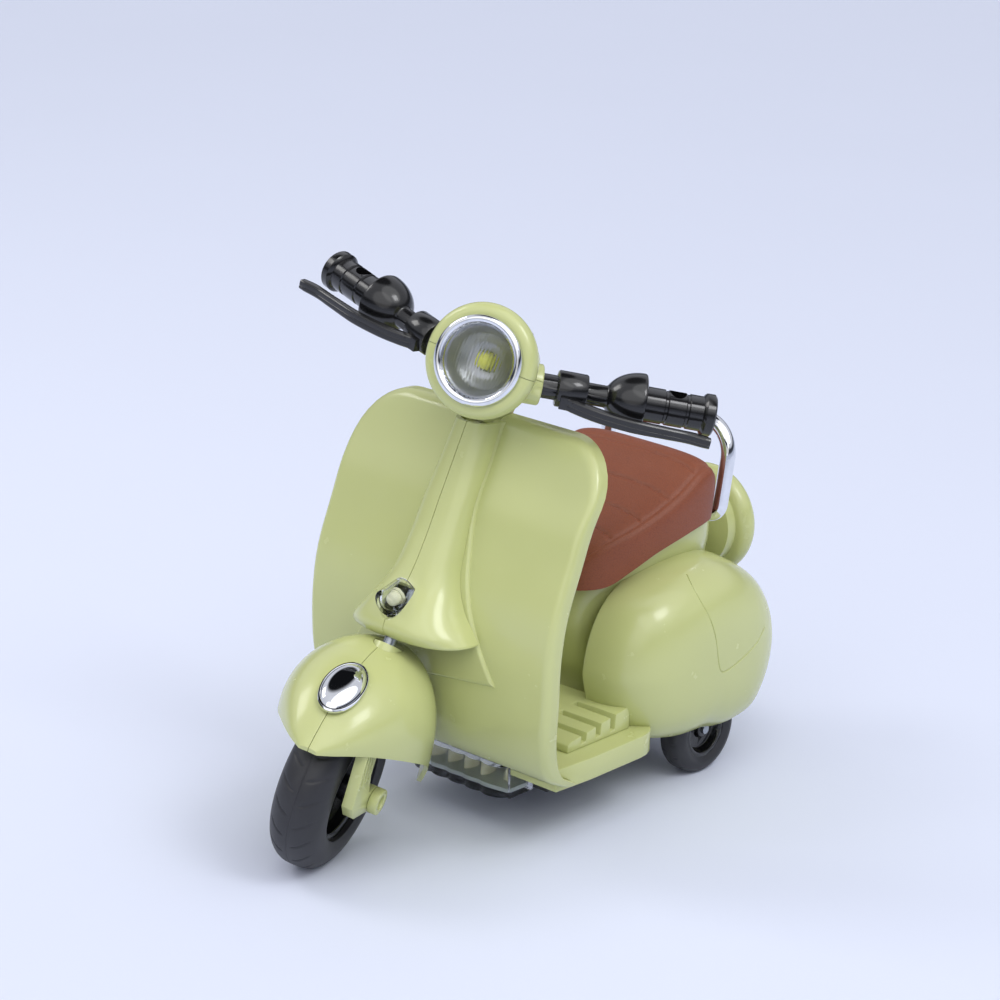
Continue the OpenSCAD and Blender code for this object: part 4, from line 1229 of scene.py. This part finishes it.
LEVER_LINE = [(24, 4.6), (29, 7.4), (36, 10.4), (45, 12.4), (55, 12.9), (63, 13.1), (68.6, 14.4)]
LEVER_WIDTH = [(24, 1.3), (30, 1.7), (40, 1.4), (60, 1.2), (66, 1.5), (68.6, 1.1)]


def lever(name, place, node):
    steps = np.linspace(24, 68.6, 70)
    points, faces = [], []
    centre, half = smooth(LEVER_LINE, steps), smooth(LEVER_WIDTH, steps)
    for k, s in enumerate(steps):
        taper = 1 - 0.25 * max(0, (s - 45) / 24)
        low, high, foot = centre[k] - half[k], centre[k] + half[k], -3 * taper
        section = [(low, foot + 0.4), (low, 0.4), (low + 0.4, 0.8), (high - 0.4, 0.8), (high, 0.4)]
        section += [(high, -1.0), (high - 0.12, -1.1), (high, -1.2), (high, foot + 0.4)]
        section += [(high - 0.4, foot), (low + 0.4, foot)]
        points += [(x, s, z) for x, z in section]
    n = 11
    faces = grid_faces(len(steps), n, closed=True)
    faces += [tuple(range(n)), tuple(range((len(steps) - 1) * n, len(steps) * n))]
    own = shift(*BAR_AT) @ turned(SWEEP, "Z")
    obj = mesh_object(name, placed(points, own), faces)
    boolean(obj, [block_tool((3, 23.4, -3), (6.8, 28, 0.8), own)], "UNION")
    boolean(obj, [cylinder_tool(5.55, 0, 34, HANDLE)])
    bevel(obj, 0.2, 2, 40)
    move(obj, STEERED @ place)
    if place is MIRROR:
        obj.data.flip_normals()
    return dress(obj, "steering", BLACK, node)


lever("lever_left_fine", np.eye(4), "lever_left")
lever("lever_right_fine", MIRROR, "lever_right")

# ---------- tyres ----------


def tyre_section(r, w, s, c, steps):
    """Open outline from one seat edge over the tread to the other, as (radius, across)."""
    pts = [(s, -w + 1), (s + 1.5, -w + 0.3)]
    pts += arc(r - c, -(w - c), c, -90, 0, steps)
    pts += [(r, y) for y in np.linspace(-(w - c), w - c, steps)[1:-1]]
    pts += arc(r - c, w - c, c, 0, 90, steps)
    pts += [(s + 1.5, w - 0.3), (s, w - 1)]
    return np.array(pts)


def tyre(name, r, w, s, c, count, depth, place, steps=14, turns=480):
    """Tyre with a moulding line round its middle and curved grooves on both sides of it."""
    section = tyre_section(r, w, s, c, steps)
    angles = np.linspace(0, 2 * math.pi, turns, endpoint=False)
    radius, across = section[:, 0], section[:, 1]
    profile_round = (across / w) ** 2
    side, reach = np.sign(across), np.abs(across)
    on_tread = radius > s + 3
    points = []
    for a in angles:
        # Each groove runs out from near the middle and hooks round at the shoulder
        phase = (a * count / (2 * math.pi) + 0.5 * (side > 0) + 0.02 * reach + 0.009 * reach**2) % 1.0
        gap = np.minimum(phase, 1 - phase) * (2 * math.pi * r / count)
        groove = np.clip(1 - gap / 0.42, 0, 1) * np.clip((reach - 1.1) / 0.8, 0, 1)
        groove = groove * np.clip((w - 1.6 - reach) / 1.2, 0, 1) * on_tread
        line = np.clip(1 - reach / 0.3, 0, 1) * on_tread
        rr = radius - profile_round * 0.35 - depth * groove - 0.22 * line
        points.append(np.stack([rr * math.cos(a), rr * math.sin(a), across], -1))
    grid = np.array(points)
    rows, cols = grid.shape[:2]
    faces = []
    for i in range(rows):
        k = (i + 1) % rows
        for j in range(cols):
            m = (j + 1) % cols
            faces.append((i * cols + j, k * cols + j, k * cols + m, i * cols + m))
    return mesh_object(name, placed(grid.reshape(-1, 3), place), faces, 60)


dress(
    tyre("front_tyre_fine", 27.5, 8.8, 17, 7.5, 22, 0.45, FRONT_WHEEL, 18, 720),
    "front_wheel", TYRE, "front_tyre",
)
for side, tag in ((1, "left"), (-1, "right")):
    rear = tyre(
        "rear_tyre_" + tag, 15, 5, 9.5, 3.2, 18, 0.4,
        shift(0, 28 * side, 15) @ turned(-90, "X"), 10, 432,
    )
    dress(rear, "rear_wheels", TYRE, "rear_tyres", stands_in=side > 0)

# ---------- pieces that keep the CAD's shape, with rounded edges ----------

for node, material, width in (
    ("floor_pan", OLIVE, 0.6),
    ("footboard", OLIVE, 0.45),
    ("fork", OLIVE, 0.5),
    ("fork_caps", OLIVE, 0.35),
    ("front_hub", BLACK, 0.3),
    ("rear_hubs", BLACK, 0.25),
    ("lamp_tray", CLEAR, 0.35),
    ("battery_box", BLACK, 0.3),
    ("battery_door", BLACK, 0.2),
):
    refined(node, material, width)

OTHER = {
    "tray_board": BOARD,
    "circuit_board": BOARD,
    "tray_leds": WARM_LED,
    "horn_lamp_led": WARM_LED,
    "batteries": CELL,
    "head_bearings": DARK,
    "speaker": DARK,
    "motor_case_left": DARK,
    "motor_case_right": DARK,
    "switch_case": BLACK,
}
for node, obj in NODES.items():
    if obj.hide_render:
        continue
    material = OTHER.get(node) or BY_SLOT.get(SLOT_OF.get(node)) or STEEL
    obj.data.materials.clear()
    obj.data.materials.append(material)
    obj.data.shade_smooth()
    obj.data.set_sharp_from_angle(angle=math.radians(SHARP))

# ---------- floor, light and camera ----------


def plain(name, colour, roughness=0.9):
    m, tree, shader = new_material(name)
    grain = noise(tree, 6, 2)
    tint = linear(colour)
    tree.links.new(
        mixed(tree, grain.outputs["Fac"], tint, tuple(c * 0.985 for c in tint[:3]) + (1.0,)),
        shader.inputs["Base Color"],
    )
    shader.inputs["Roughness"].default_value = roughness
    shader.inputs["Specular IOR Level"].default_value = 0.2
    return m


floor_points = [(-3, -3, 0), (3, -3, 0), (3, 3, 0), (-3, 3, 0)]
floor = mesh_object("floor", np.array(floor_points) / MM, [(0, 1, 2, 3)])
floor.data.materials.append(plain("paper", "dfe4f4"))


def light(name, kind, at, target, power, colour):
    """A light that shines from one place towards another; it returns the light's data."""
    data = bpy.data.lights.new(name, kind)
    data.energy = power
    data.color = colour
    obj = bpy.data.objects.new(name, data)
    obj.location = at
    obj.rotation_euler = (Vector(target) - Vector(at)).to_track_quat("-Z", "Y").to_euler()
    SCENE.collection.objects.link(obj)
    return data


def area(name, at, size, power, colour):
    light(name, "AREA", at, AIM, power, colour).size = size


def sun(name, at, power, spread, colour):
    """Distant light, soft-edged by its spread in degrees, that shines evenly over the floor."""
    light(name, "SUN", at, (0, 0, 0), power, colour).angle = math.radians(spread)


AIM = (0.06, 0.0, 0.08)
sun("overhead", (0.1, 0.5, 0.85), 0.75, 60, (0.99, 1.0, 1.0))
sun("front", (0.8, 0.35, 0.6), 0.55, 60, (1.0, 0.99, 0.97))
area("key", (0.45, -0.7, 0.9), 0.4, 2.2, (1.0, 0.99, 0.97))
area("window", (0.1, 0.7, 0.95), 0.34, 2.4, (0.97, 0.98, 1.0))

world = bpy.data.worlds.new("studio")
SCENE.world = world
world.use_nodes = True
tree = world.node_tree
back = tree.nodes["Background"]
coords = tree.nodes.new("ShaderNodeTexCoord")
split = tree.nodes.new("ShaderNodeSeparateXYZ")
tree.links.new(coords.outputs["Generated"], split.inputs["Vector"])
sky = tree.nodes.new("ShaderNodeValToRGB")
sky.color_ramp.elements[0].position = 0.0
sky.color_ramp.elements[0].color = linear("d3dbf2")
sky.color_ramp.elements[1].position = 1.0
sky.color_ramp.elements[1].color = linear("f2f4fc")
# A dark band above the horizon and a dark patch overhead, which the chrome mirrors
for position, colour in ((0.1, "c4cbe0"), (0.16, "4a4e58"), (0.3, "3c4048"), (0.38, "e6e9f4")):
    sky.color_ramp.elements.new(position).color = linear(colour)
facing = tree.nodes.new("ShaderNodeVectorMath")
facing.operation = "DOT_PRODUCT"
facing.inputs[1].default_value = Vector((-0.25, -0.3, 0.92)).normalized()
tree.links.new(coords.outputs["Generated"], facing.inputs[0])
wall = tree.nodes.new("ShaderNodeMix")
wall.data_type = "RGBA"
tree.links.new(ramp(tree, facing.outputs["Value"], 0, 1, 0.93, 0.96), wall.inputs["Factor"])
tree.links.new(sky.outputs["Color"], wall.inputs[6])
wall.inputs[7].default_value = linear("17181b")
tree.links.new(split.outputs["Z"], sky.inputs["Fac"])
tree.links.new(wall.outputs[2], back.inputs["Color"])
back.inputs["Strength"].default_value = 0.82

# The camera: fitted to the object in millimetres; its shift frames it as the photograph does
EYE = (730.9, 580.1, 394.3)
CAMERA_TURN = (70.066, -2.242, 131.215)
lens_data = bpy.data.cameras.new("camera")
lens_data.lens = 108
lens_data.sensor_width = 36
lens_data.clip_start = 0.01
lens_data.clip_end = 20
lens_data.shift_x = -0.04058
lens_data.shift_y = 0.0828
camera = bpy.data.objects.new("camera", lens_data)
camera.location = Vector(EYE) * MM
camera.rotation_euler = [math.radians(v) for v in CAMERA_TURN]
SCENE.collection.objects.link(camera)
SCENE.camera = camera
